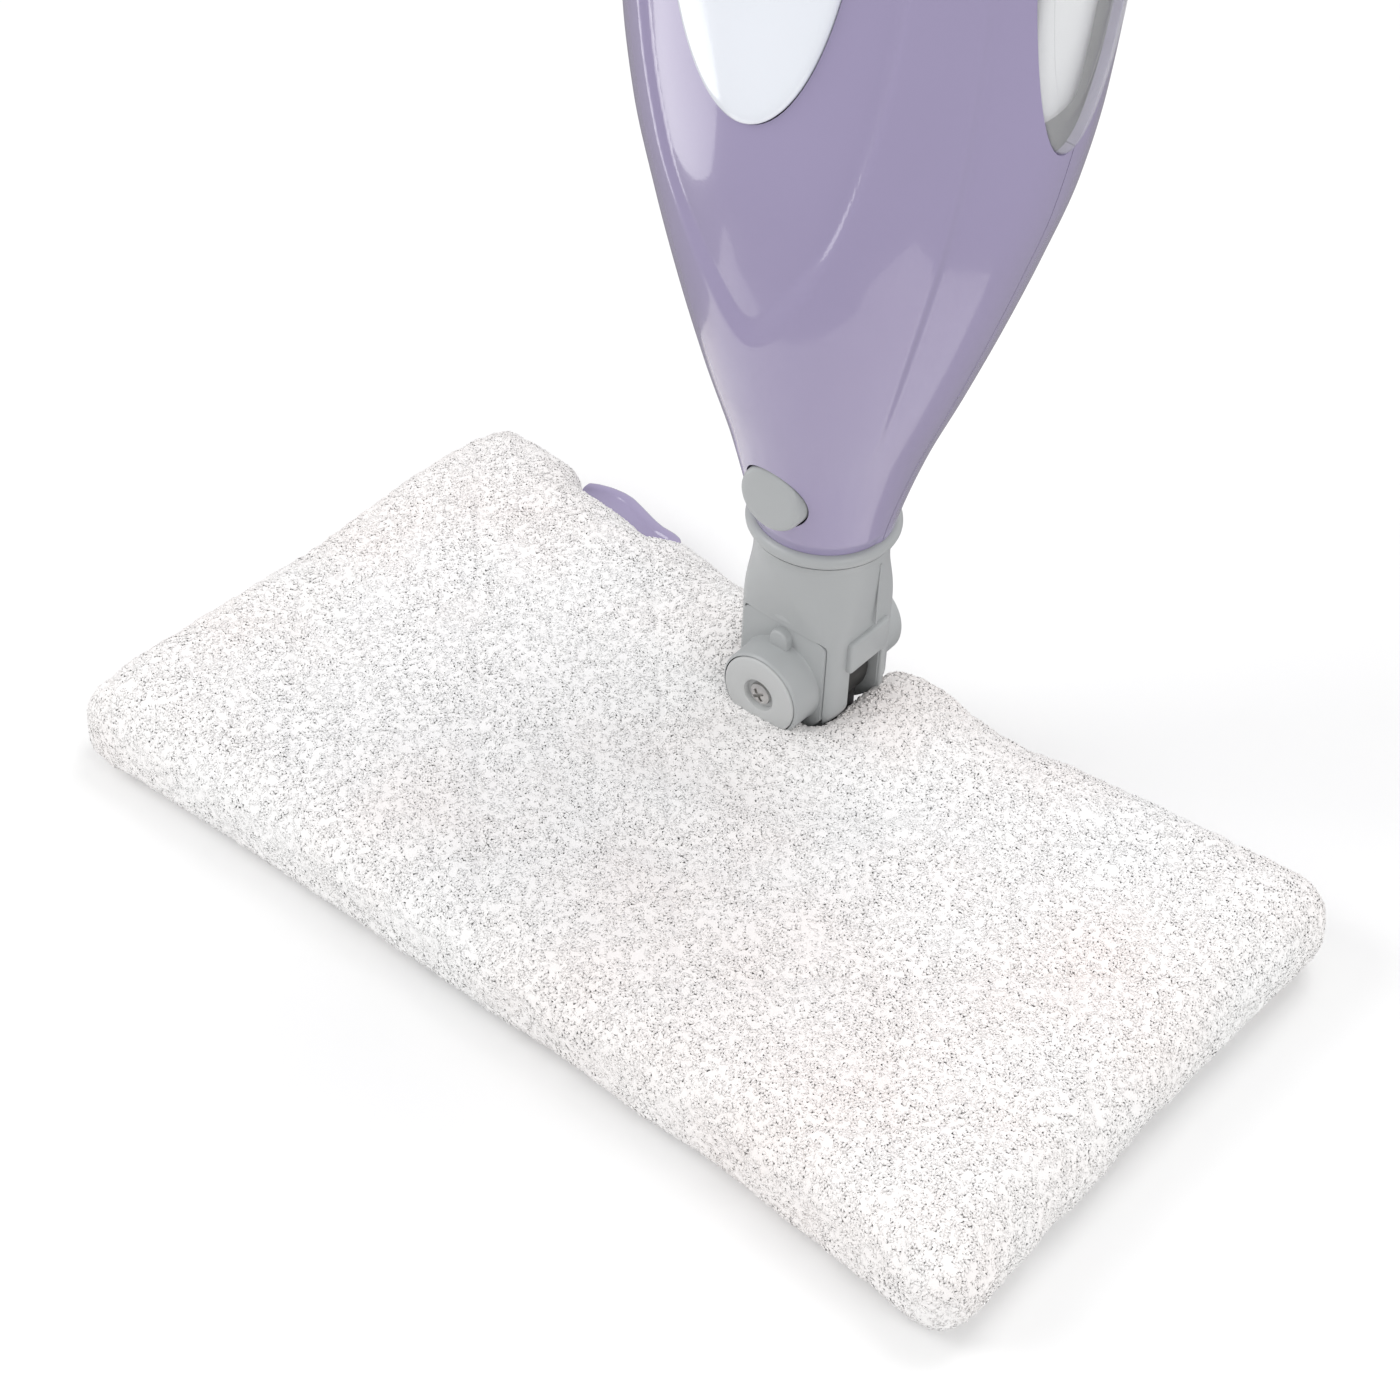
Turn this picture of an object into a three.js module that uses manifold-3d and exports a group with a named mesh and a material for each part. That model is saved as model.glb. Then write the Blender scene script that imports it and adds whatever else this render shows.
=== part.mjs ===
// Steam mop: a padded mop head, a two-axis neck, a leaf-shaped body that holds the tank,
// pump and boiler, and a pole with a trigger grip.
// Millimetres, +Z up. X runs along the head's long side and +Y points to the user behind it.
// The origin is the centre of the pad's flat underside, on the floor.

import * as THREE from "three";
import { mergeVertices } from "three/addons/utils/BufferGeometryUtils.js";
import Module from "manifold-3d";

const wasm = await Module();
wasm.setup();

// ---- driving dimensions ----

const gap = 0.3; // clearance between neighbouring pieces
const slack = 0.4; // clearance round a covering let into a shell
const smallSides = 6; // facets round screws and small holes
const roundSides = 10; // facets round knobs, pipes and bores
const largeSides = 20; // facets round the tube, the flange and the pivots

// pad
const padLength = 320;
const padDepth = 178;
const padHeight = 30;
const padUnderLayer = 7; // terry under the head
const padTopLayer = 5.7; // terry over the head
const padSideLayer = 9; // terry round the head's edge
const padCornerRadius = 18;
const padRoll = 11; // roundness of the pad's upper and lower edge
const rearScoop = 11; // how far the rear edge curves in towards the neck
const padMoundHeight = 5; // fabric gathered round the neck

// head
const headWall = 2.5;
const headFloor = 2.5;
const headSplitHeight = 15; // parting line of base and cover
const steamHoleRadius = 2;
const steamHoleSpacing = 44;
const postRadius = 4.5; // posts that the head's screws go into
const screwHeadRadius = 3.2;
const screwSinkRadius = 3.6; // wells the screw heads sit in
const pipeRadius = 3; // brass steam pipes
const pipeBore = 1.8;
const headScrewSpread = [105, 52]; // half distances between the head's screws
const tabWidth = 40;
const tabReach = 11; // how far the pad tab stands out behind the pad
const tabCentreX = -99;

// neck
const neckY = 51.5; // neck axis behind the head's centre
const tiltHeight = 24;
const swingHeight = 46;
const hubRadius = 7;
const hubHalfLength = 13.5;
const trunnionRadius = 4;
const trunnionReach = 22; // end of each trunnion pin from the centre
const bearingHalfDepth = 8;
const yokeHalfDepth = 5.8;
const eyeRadius = 14;
const stubRadius = 9;
const stubReach = 22.5;
const hoseRadius = 3;
const hoseClearance = 0.8;
const tubeRadius = 19;
const tubeWall = 3;
const sleeveRadius = 13; // spigot sleeve that the body drops onto
const sleeveWall = 2.5;
const sleeveTop = 132;
const forkHalfWidth = 15.5;
const forkHalfDepth = 12.2;
const forkTop = 66;
const forkEndRadius = 17.5; // rounded lower end of the fork
const slotHalfDepth = 6.6;
const slotTop = 62.5;
const lintelBottom = 54.5; // side walls come down past the slot's ceiling
const lintelInner = 15;
const coverHalfWidth = 14.4;
const coverThickness = 2.4;
const coverEndRadius = 16.5; // rounded lower end of the flat covers
const ribRadius = 3; // round-topped rib over each boss
const pivotScrewRadius = 2;
const crossWidth = 1; // cross recess of the pivot screws
const bossRadius = 13.2;
const bossReach = 24.6;
const discRadius = 12;
const screwWellRadius = 5;
const discThickness = 2.4;
const flangeProud = 2.75; // how far the flange stands out from the tube
const flangeHeight = 4.5;
const flangeTop = 98;

// body
const bodyHeight = 384;
const bodyHalfWidth = 68;
const bodyRimProud = 0.6; // the body's bottom rim is a little wider than the tube
const bodyTopRadius = 24;
const bodyWall = 2.5;
const bodySides = 20; // facets round the body
const bodyRows = 10; // facets up the body
const innerRows = 5; // facets up what lies inside it
const bellyShare = 0.61; // where up the body it is widest
const panelHalfWidth = 28;
const panelHalfHeight = 75;
const panelProud = 1.5;
const windowHalfWidth = 17;
const windowHalfHeight = 77;
const buttonHeight = 117;
const buttonRadius = 10;
const powerButtonRadius = 9;
const boilerRadius = 24;
const boilerHeight = 50;
const pumpSize = [34, 30, 30];
const tankTopBelowBodyTop = 50;
const tankWall = 2;
const fillerRadius = 13;
const fillerBore = 10.6;
const capRadius = 17;
const shellScrewRadius = 1.5;

// pole and grip
const poleRadius = 12.5;
const poleWall = 1.2;
const poleLength = 500;
const gripLength = 186;
const gripRadius = 18;
const gripWall = 2.5;
const gripRows = 7; // facets up the grip
const gripDepthRatio = 1.12;
const sleeveBand = [0.46, 0.84]; // soft sleeve's lower and upper end up the grip
const sleeveThickness = 2;
const hookReach = 50;
const hookThickness = 6;
const hookLip = 26;
const hookWidth = 14;
const glandRadius = 8;
const glandBore = 3.5;

// ---- derived places ----

const headTop = padHeight - padTopLayer - gap;
const headBottom = padUnderLayer + gap;
const coverTop = forkTop - 0.5;
const flangeFloor = flangeTop - 2.5;
const flangeRadius = tubeRadius + flangeProud;
const bodyBottomRadius = tubeRadius + bodyRimProud;
const bodyBottom = flangeFloor + gap;
const bodyTop = bodyBottom + bodyHeight;
const bellyHeight = bodyBottom + bellyShare * bodyHeight;
const boilerBottom = sleeveTop + 8;
const boilerTop = boilerBottom + boilerHeight;
const pumpBottom = boilerTop + 10;
const tankBottom = pumpBottom + pumpSize[2] + 16;
const tankTop = bodyTop - tankTopBelowBodyTop;
const fillerHeight = tankTop - 32;
const panelHeight = bellyHeight - 10;
const indicatorHeight = panelHeight + panelHalfHeight + 10;
const powerButtonHeight = indicatorHeight + 18;
const poleBottom = bodyTop - 14;
const poleTop = poleBottom + poleLength;
const gripBottom = poleTop - 26;
const gripTop = gripBottom + gripLength;

// ---- materials ----

function plastic(color, roughness, metalness = 0) {
  return new THREE.MeshStandardMaterial({ color, roughness, metalness });
}

const lilac = plastic(0x9a90b0, 0.25);
const grey = plastic(0xb1b4b6, 0.5);
const paleGrey = plastic(0xc9cac8, 0.5);
const black = plastic(0x2a2a2a, 0.6);
const white = plastic(0xeef1f8, 0.2);
const clear = new THREE.MeshStandardMaterial({
  color: 0xdfe0e5, roughness: 0.05, transparent: true, opacity: 0.4,
});
const tankPlastic = plastic(0xf2f3f4, 0.4);
const terry = plastic(0xf8f5f3, 1);
const rubber = plastic(0x3a3a3c, 0.8);
const silicone = plastic(0xd8d4cc, 0.6);
const steel = plastic(0xc8c8c8, 0.3, 1);
const aluminium = plastic(0xb8babd, 0.35, 1);
const brass = plastic(0xb9975b, 0.35, 1);
const board = plastic(0x2f6b45, 0.6);
const redLens = plastic(0xb03a30, 0.2);

// ---- solids: three.js shapes joined and cut ----

function solid(geometry) {
  geometry.deleteAttribute("normal");
  geometry.deleteAttribute("uv");
  const merged = mergeVertices(geometry, 1e-4);
  const mesh = new wasm.Mesh({
    numProp: 3,
    vertProperties: new Float32Array(merged.attributes.position.array),
    triVerts: new Uint32Array(merged.index.array),
  });
  return new wasm.Manifold(mesh);
}

const assembly = new THREE.Group();

// puts one finished solid in the assembly as a named mesh
function piece(name, shape, material) {
  const { vertProperties, triVerts } = shape.getMesh();
  const geometry = new THREE.BufferGeometry();
  geometry.setAttribute("position", new THREE.BufferAttribute(new Float32Array(vertProperties), 3));
  geometry.setIndex(new THREE.BufferAttribute(new Uint32Array(triVerts), 1));
  geometry.computeVertexNormals();
  const mesh = new THREE.Mesh(geometry, material);
  mesh.name = name;
  assembly.add(mesh);
}

function box(x0, x1, y0, y1, z0, z1) {
  const geometry = new THREE.BoxGeometry(x1 - x0, y1 - y0, z1 - z0);
  return solid(geometry.translate((x0 + x1) / 2, (y0 + y1) / 2, (z0 + z1) / 2));
}

// a cylinder about a vertical line
function upright(radius, x, y, z0, z1, sides = roundSides) {
  const geometry = new THREE.CylinderGeometry(radius, radius, z1 - z0, sides);
  return solid(geometry.rotateX(Math.PI / 2).translate(x, y, (z0 + z1) / 2));
}

// a cylinder along Y, between two places behind or before the neck axis
function alongY(radius, x, z, y0, y1, sides = roundSides) {
  const geometry = new THREE.CylinderGeometry(radius, radius, y1 - y0, sides);
  return solid(geometry.translate(x, neckY + (y0 + y1) / 2, z));
}

function alongX(radius, y, z, x0, x1, sides = roundSides) {
  const geometry = new THREE.CylinderGeometry(radius, radius, x1 - x0, sides);
  return solid(geometry.rotateZ(Math.PI / 2).translate((x0 + x1) / 2, y, z));
}

function tube(outer, inner, x, y, z0, z1) {
  return upright(outer, x, y, z0, z1).subtract(upright(inner, x, y, z0 - 1, z1 + 1));
}

// a ring or knob turned about the neck axis, from [radius, height] pairs
function turned(profile, sides = largeSides) {
  const points = profile.map(([radius, height]) => new THREE.Vector2(radius, height));
  const geometry = new THREE.LatheGeometry(points, sides);
  return solid(geometry.rotateX(Math.PI / 2).translate(0, neckY, 0));
}

function ovalShape(halfWidth, halfHeight) {
  const shape = new THREE.Shape();
  shape.absellipse(0, 0, halfWidth, halfHeight, 0, 2 * Math.PI, false);
  return shape;
}

// an oval bar along Y, for cutting and shaping what lies on the body's front
function ovalAlongY(halfWidth, halfHeight, z, y0, y1) {
  const geometry = new THREE.ExtrudeGeometry(ovalShape(halfWidth, halfHeight), {
    depth: y1 - y0, bevelEnabled: false, curveSegments: 10,
  });
  return solid(geometry.rotateX(Math.PI / 2).translate(0, neckY + y1, z));
}

// an oval bar along X, for what lies on the body's flanks
function ovalAlongX(halfWidth, halfHeight, z, x0, x1) {
  const geometry = new THREE.ExtrudeGeometry(ovalShape(halfHeight, halfWidth), {
    depth: x1 - x0, bevelEnabled: false, curveSegments: 10,
  });
  return solid(geometry.rotateY(Math.PI / 2).translate(x0, neckY, z));
}

// a flexible tube through chosen points
function hose(points, radius, steps) {
  const path = new THREE.CatmullRomCurve3(points.map(([x, y, z]) => new THREE.Vector3(x, neckY + y, z)));
  const section = new THREE.Shape().absarc(0, 0, radius, 0, 2 * Math.PI, false);
  return solid(new THREE.ExtrudeGeometry(section, { steps, extrudePath: path, curveSegments: 5 }));
}

// smooth height function through [height, value] knots, without overshoot
function through(knots) {
  const slope = (i) => (knots[i + 1][1] - knots[i][1]) / (knots[i + 1][0] - knots[i][0]);
  const tangents = knots.map((_, i) => {
    if (i === 0) return slope(0);
    if (i === knots.length - 1) return slope(i - 1);
    const [before, after] = [slope(i - 1), slope(i)];
    return before * after <= 0 ? 0 : (2 * before * after) / (before + after);
  });
  return (height) => {
    let i = knots.findIndex((knot) => knot[0] >= height) - 1;
    if (i === -2) i = knots.length - 2;
    i = Math.max(i, 0);
    const run = knots[i + 1][0] - knots[i][0];
    const t = THREE.MathUtils.clamp((height - knots[i][0]) / run, 0, 1);
    const [t2, t3] = [t * t, t * t * t];
    return knots[i][1] * (2 * t3 - 3 * t2 + 1) + knots[i + 1][1] * (3 * t2 - 2 * t3) +
      run * (tangents[i] * (t3 - 2 * t2 + t) + tangents[i + 1] * (t3 - t2));
  };
}

// a solid of upright ovals: halfWidth(height) across and depthRatio(height) of that in depth
function ovalStack(halfWidth, depthRatio, bottom, top, inset, rows, sides = bodySides) {
  const heights = Array.from({ length: rows + 1 }, (_, i) => bottom + ((top - bottom) * i) / rows);
  const profile = heights.map((height) => new THREE.Vector2(halfWidth(height) - inset, height));
  profile.unshift(new THREE.Vector2(0, bottom));
  profile.push(new THREE.Vector2(0, top));
  const geometry = new THREE.LatheGeometry(profile, sides).rotateX(Math.PI / 2);
  const position = geometry.attributes.position;
  for (let i = 0; i < position.count; i += 1) {
    const height = position.getZ(i);
    const width = halfWidth(height) - inset;
    const depth = halfWidth(height) * depthRatio(height) - inset;
    position.setY(i, (position.getY(i) * depth) / width);
  }
  return solid(geometry.translate(0, neckY, 0));
}

// ---- the body's outline ----

const lower = bellyHeight - bodyBottom;
const upper = bodyTop - bellyHeight;

// half width of the leaf: share of the way from the end radius to the belly, at shares of the rise
const lowerShares = [
  [0, 0], [0.035, 0.035], [0.125, 0.161], [0.231, 0.351], [0.338, 0.533], [0.445, 0.7], [0.552, 0.845],
  [0.658, 0.928], [0.8, 0.977], [1, 1],
];
const upperShares = [[0.25, 0.93], [0.5, 0.72], [0.78, 0.36], [1, 0]];
const halfWidthAt = through([
  ...lowerShares.map(([rise, share]) =>
    [bodyBottom + rise * lower, THREE.MathUtils.lerp(bodyBottomRadius, bodyHalfWidth, share)]),
  ...upperShares.map(([rise, share]) =>
    [bellyHeight + rise * upper, THREE.MathUtils.lerp(bodyTopRadius, bodyHalfWidth, share)]),
]);
const depthRatioAt = through([
  [bodyBottom, 1], [bodyBottom + 0.036 * lower, 1], [bodyBottom + 0.146 * lower, 0.95],
  [bodyBottom + 0.66 * lower, 0.76], [bellyHeight, 0.73], [bellyHeight + 0.5 * upper, 0.78], [bodyTop, 1],
]);

// ---- head and pad ----

// the head's plan: a rounded oblong with a scooped rear edge
function headPlan(halfLength, halfDepth, corner, scoop) {
  const shape = new THREE.Shape();
  shape.moveTo(-halfLength + corner, -halfDepth);
  shape.lineTo(halfLength - corner, -halfDepth);
  shape.absarc(halfLength - corner, -halfDepth + corner, corner, -Math.PI / 2, 0, false);
  shape.lineTo(halfLength, halfDepth - corner);
  shape.absarc(halfLength - corner, halfDepth - corner, corner, 0, Math.PI / 2, false);
  const [mid, far] = [halfLength * 0.45, halfLength * 0.5];
  shape.bezierCurveTo(far, halfDepth, mid, halfDepth - scoop, 0, halfDepth - scoop);
  shape.bezierCurveTo(-mid, halfDepth - scoop, -far, halfDepth, -halfLength + corner, halfDepth);
  shape.absarc(-halfLength + corner, halfDepth - corner, corner, Math.PI / 2, Math.PI, false);
  shape.lineTo(-halfLength, -halfDepth + corner);
  shape.absarc(-halfLength + corner, -halfDepth + corner, corner, Math.PI, 1.5 * Math.PI, false);
  return shape;
}

// the head's plan drawn in from the pad's outline and raised between two heights
function headSlab(inset, z0, z1) {
  const corner = Math.max(padCornerRadius - inset, 4);
  const shape = headPlan(padLength / 2 - inset, padDepth / 2 - inset, corner, rearScoop);
  const geometry = new THREE.ExtrudeGeometry(shape, {
    depth: z1 - z0, bevelEnabled: false, curveSegments: 4,
  });
  return solid(geometry.translate(0, 0, z0));
}

// the way left open for the yoke, and behind it for the neck leaning back
function neckNotch(halfWidth, front, z0, z1) {
  return box(-halfWidth, halfWidth, neckY - front, padDepth, z0, z1);
}

function mopPad() {
  const corner = padCornerRadius - padRoll + 4;
  const plan = headPlan(padLength / 2 - padRoll, padDepth / 2 - padRoll, corner, rearScoop);
  const outer = solid(new THREE.ExtrudeGeometry(plan, {
    depth: padHeight - 2 * padRoll, bevelThickness: padRoll, bevelSize: padRoll, bevelSegments: 3,
    curveSegments: 4,
  }).translate(0, 0, padRoll));
  const mound = solid(new THREE.SphereGeometry(1, largeSides, smallSides).scale(58, 46, padMoundHeight + 14)
    .translate(0, neckY - 14, padHeight - 14));
  const low = box(-padLength, padLength, -padDepth, padDepth / 2 - rearScoop - 3,
    padUnderLayer, padHeight + 40);
  const pocket = headSlab(padSideLayer, padUnderLayer, padHeight - padTopLayer);
  const neckHole = neckNotch(trunnionReach + 3.2, bossReach + 1.2, padUnderLayer, padHeight + 40);
  const tabSlit = box(tabCentreX - tabWidth / 2 - 2, tabCentreX + tabWidth / 2 + 2,
    padDepth / 2 - 30, padDepth, padUnderLayer, padHeight - padTopLayer);
  return outer.add(mound.intersect(low)).subtract(pocket).subtract(neckHole).subtract(tabSlit);
}

const headInset = padSideLayer + gap;
const bearingInner = hubHalfLength + 0.5;
const bearingOuter = trunnionReach + 2;

function trunnionBore() {
  const reach = trunnionReach + gap;
  return alongX(trunnionRadius + gap, neckY, tiltHeight, -reach, reach);
}

function headScrewPlaces() {
  const [x, y] = headScrewSpread;
  return [[-x, -y], [x, -y], [-x, y], [x, y]];
}

function headBase() {
  let base = headSlab(headInset, headBottom, headSplitHeight)
    .subtract(headSlab(headInset + headWall, headBottom + headFloor, headSplitHeight + 1));
  base = base.add(box(-bearingOuter - 3, bearingOuter + 3, neckY - 14,
    padDepth / 2 - rearScoop - headInset - 1, headBottom, headSplitHeight));
  for (const [x, y] of headScrewPlaces()) {
    base = base.add(upright(postRadius, x, y, headBottom + 1, headTop - 2 - gap, roundSides));
    base = base.subtract(upright(1.8, x, y, headBottom + 2, headTop, smallSides));
  }
  for (const side of [-1, 1]) {
    const ends = [side * bearingInner, side * bearingOuter].sort((a, b) => a - b);
    base = base.add(box(ends[0], ends[1], neckY - bearingHalfDepth, neckY + bearingHalfDepth,
      headBottom + 1, tiltHeight));
  }
  base = base.subtract(neckNotch(hubHalfLength + 0.4, hubRadius + 2, headBottom - 1, headTop));
  base = base.subtract(box(-forkHalfWidth - 4.5, forkHalfWidth + 4.5, neckY + bearingHalfDepth + 0.6,
    padDepth, headBottom - 1, headTop));
  base = base.subtract(trunnionBore());
  base = base.subtract(alongY(3.4, 0, headBottom + 4.4, -20, 0, roundSides));
  for (let i = -2; i <= 2; i += 1) {
    for (const row of [-36, -4]) {
      base = base.subtract(upright(steamHoleRadius, i * steamHoleSpacing, row, headBottom - 1,
        headBottom + headFloor + 1, smallSides));
    }
  }
  return base;
}

function headCover() {
  const bottom = headSplitHeight + gap;
  let cover = headSlab(headInset, bottom, headTop)
    .subtract(headSlab(headInset + headWall, bottom - 1, headTop - 2));
  cover = cover.add(box(-bearingOuter - 3, bearingOuter + 3, neckY - 14,
    padDepth / 2 - rearScoop - headInset - 1, bottom, headTop));
  cover = cover.subtract(neckNotch(bearingOuter + 0.6, 11, bottom - 1, headTop + 1));
  for (const [x, y] of headScrewPlaces()) {
    cover = cover.subtract(upright(1.9, x, y, bottom, headTop + 1, smallSides));
    cover = cover.subtract(upright(screwSinkRadius, x, y, headTop - 1.2, headTop + 1, roundSides));
  }
  return cover;
}

function headScrew(x, y) {
  return upright(1.5, x, y, headBottom + 4, headTop - 0.9, smallSides)
    .add(upright(screwHeadRadius, x, y, headTop - 0.9, headTop, smallSides));
}

function trunnionCap(side) {
  const [inner, outer] = [side * (bearingInner + 0.2), side * (bearingOuter - 0.2)].sort((a, b) => a - b);
  const [front, rear] = [neckY - bearingHalfDepth, neckY + bearingHalfDepth];
  const block = box(inner, outer, front, rear, tiltHeight + gap, tiltHeight + 3);
  const crown = alongX(bearingHalfDepth, neckY, tiltHeight, inner, outer)
    .intersect(box(inner, outer, front - 2, rear + 2, tiltHeight + gap, tiltHeight + 10));
  return block.add(crown).subtract(trunnionBore());
}

const distributorY = -20;

function steamDistributor() {
  const z0 = headBottom + headFloor + 1.8;
  let plate = box(-122, 122, distributorY - 26, distributorY + 26, z0, z0 + 3);
  plate = plate.add(box(-7, 7, distributorY + 25, neckY - 20, z0, z0 + 3));
  plate = plate.subtract(box(-118, 118, distributorY - 22, distributorY + 22, z0 - 1, z0 + 1.4));
  return plate;
}

function headGasket() {
  const z0 = headBottom + headFloor + gap;
  return box(-122, 122, distributorY - 26, distributorY + 26, z0, z0 + 1.2)
    .subtract(box(-117, 117, distributorY - 21, distributorY + 21, z0 - 1, z0 + 2));
}

// the elbow that leads steam from the hose's lower end into the head
function steamInletElbow() {
  const height = headBottom + 4.4;
  const lower = tiltHeight - hubRadius - 2.4;
  return alongY(pipeRadius, 0, height, -19, 2, roundSides)
    .add(upright(pipeRadius, 0, neckY, height, lower, roundSides))
    .subtract(alongY(pipeBore, 0, height, -20, 0, smallSides))
    .subtract(upright(pipeBore, 0, neckY, height, lower + 1, smallSides));
}

// a curved finger tab that stands out behind the pad's rear edge
function padReleaseTab() {
  const start = padDepth / 2 - headInset - 4;
  const end = padDepth / 2 + tabReach;
  const shape = new THREE.Shape();
  shape.moveTo(-tabWidth / 2, start);
  shape.lineTo(-tabWidth / 2, end - 9);
  shape.bezierCurveTo(-tabWidth / 2, end, -tabWidth / 4, end, 0, end - 3);
  shape.bezierCurveTo(tabWidth / 4, end - 6, tabWidth / 3, end - 7, tabWidth / 2, end - 8);
  shape.lineTo(tabWidth / 2, start);
  const thickness = 3;
  const z = headTop - 5;
  return solid(new THREE.ExtrudeGeometry(shape, { depth: thickness, bevelEnabled: false, curveSegments: 12 })
    .translate(tabCentreX, 0, z - thickness))
    .add(box(tabCentreX - tabWidth / 2, tabCentreX + tabWidth / 2, start, start + 2, headBottom + 1, z - 1))
    .subtract(headSlab(headInset - gap, 0, padHeight));
}

piece("mop_pad", mopPad(), terry);
piece("head_base", headBase(), lilac);
piece("head_cover", headCover(), lilac);
piece("steam_distributor", steamDistributor(), paleGrey);
piece("head_gasket", headGasket(), silicone);
piece("steam_inlet_elbow", steamInletElbow(), brass);
piece("pad_release_tab", padReleaseTab(), lilac);
headScrewPlaces().forEach(([x, y], i) => piece(`head_screw_${i + 1}`, headScrew(x, y), steel));
piece("trunnion_cap_left", trunnionCap(-1), black);
piece("trunnion_cap_right", trunnionCap(1), black);

// ---- yoke: tilts on the head, carries the fork ----

function yoke() {
  let shape = alongX(hubRadius, neckY, tiltHeight, -hubHalfLength, hubHalfLength);
  shape = shape.add(alongX(trunnionRadius, neckY, tiltHeight, -trunnionReach, trunnionReach, roundSides));
  shape = shape.add(box(-11, 11, neckY - yokeHalfDepth, neckY + yokeHalfDepth, tiltHeight, swingHeight));
  shape = shape.add(alongY(eyeRadius, 0, swingHeight, -yokeHalfDepth, yokeHalfDepth, largeSides));
  shape = shape.add(alongY(stubRadius, 0, swingHeight, -stubReach, stubReach, largeSides));
  const hoseBore = hoseRadius + hoseClearance;
  shape = shape.subtract(upright(hoseBore, 0, neckY, tiltHeight - 12, swingHeight + 20, roundSides));
  for (const [from, to] of [[-stubReach - 1, -10], [10, stubReach + 1]]) {
    shape = shape.subtract(alongY(2.3, 0, swingHeight, from, to, smallSides));
  }
  return shape;
}

// front disc or rear disc on the end of a yoke stub; side is -1 in front and 1 behind
function acrossStub(side, from, to, radius, z, sides) {
  const [y0, y1] = [side * from, side * to].sort((a, b) => a - b);
  return alongY(radius, 0, z, y0, y1, sides);
}

const discInner = stubReach + gap;
const discOuter = discInner + discThickness;

function pivotCap(side) {
  return acrossStub(side, discInner, discOuter, discRadius, swingHeight, largeSides)
    .subtract(acrossStub(side, discInner + 0.8, discOuter + 1, screwWellRadius, swingHeight, roundSides))
    .subtract(acrossStub(side, discInner - 1, discOuter, 2.3, swingHeight, smallSides));
}

function pivotScrew(side) {
  const cross = crossWidth / 2;
  const seat = discInner + 0.8 + gap;
  const [y0, y1] = [side * (seat + 0.5), side * (seat + 3)].sort((a, b) => a - b);
  return acrossStub(side, 11, seat, pivotScrewRadius, swingHeight, smallSides)
    .add(acrossStub(side, seat - 0.01, seat + 1.2, 3.5, swingHeight, roundSides))
    .subtract(box(-2.4, 2.4, neckY + y0, neckY + y1, swingHeight - cross, swingHeight + cross))
    .subtract(box(-cross, cross, neckY + y0, neckY + y1, swingHeight - 2.4, swingHeight + 2.4));
}

function steamHose() {
  const [bottom, top] = [tiltHeight - hubRadius - 1.2, swingHeight + eyeRadius + 1];
  return tube(hoseRadius, hoseRadius - 1.3, 0, neckY, bottom, top);
}

piece("yoke", yoke(), black);
piece("steam_hose", steamHose(), silicone);
for (const [end, side] of [["front", -1], ["rear", 1]]) {
  piece(`pivot_cap_${end}`, pivotCap(side), paleGrey);
  piece(`pivot_screw_${end}`, pivotScrew(side), steel);
}

// ---- neck: fork, tube and spigot sleeve ----

function neckTube() {
  const gapFloor = forkTop + 2;
  const rimRadius = halfWidthAt(flangeTop) + gap;
  const sleeveInner = sleeveRadius - sleeveWall;
  let shape = turned([
    [sleeveInner, slotTop - 0.5], [tubeRadius, slotTop - 0.5], [tubeRadius, flangeTop - flangeHeight],
    [flangeRadius, flangeTop - flangeHeight], [flangeRadius, flangeTop], [rimRadius, flangeTop],
    [rimRadius, flangeFloor], [tubeRadius - tubeWall, flangeFloor], [tubeRadius - tubeWall, gapFloor],
    [sleeveRadius, gapFloor], [sleeveRadius, sleeveTop], [sleeveInner, sleeveTop],
    [sleeveInner, slotTop - 0.5],
  ], largeSides);
  const forkEnd = swingHeight - forkEndRadius;
  const forkEndBar = alongY(forkEndRadius, 0, swingHeight, -forkHalfDepth - 1, forkHalfDepth + 1, largeSides);
  const forkOutline = box(-forkHalfWidth, forkHalfWidth, neckY - forkHalfDepth, neckY + forkHalfDepth,
    forkEnd, forkTop)
    .intersect(box(-forkHalfWidth, forkHalfWidth, 0, padDepth, swingHeight, forkTop).add(forkEndBar));
  shape = shape.add(forkOutline.subtract(upright(sleeveInner, 0, neckY, forkEnd, forkTop + 1, largeSides)
    .intersect(box(-20, 20, 0, padDepth, slotTop - 1, forkTop + 1))));
  const [slotFront, slotRear] = [neckY - slotHalfDepth, neckY + slotHalfDepth];
  shape = shape.subtract(box(-lintelInner, lintelInner, slotFront, slotRear, 0, slotTop));
  shape = shape.subtract(box(-2 * tubeRadius, 2 * tubeRadius, slotFront, slotRear, 0, lintelBottom));
  shape = shape.subtract(alongY(stubRadius + gap, 0, swingHeight, -forkHalfDepth - 1, forkHalfDepth + 1,
    largeSides));
  for (const side of [-1, 1]) {
    const [y0, y1] = [side * forkHalfDepth, side * 2 * tubeRadius].sort((a, b) => a - b);
    shape = shape.subtract(box(-coverHalfWidth - gap, coverHalfWidth + gap, neckY + y0, neckY + y1,
      0, coverTop + gap));
  }
  const catchHole = alongY(6.4, 0, buttonHeight, -sleeveRadius - 2, 0, roundSides);
  return shape.subtract(catchHole);
}

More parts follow.
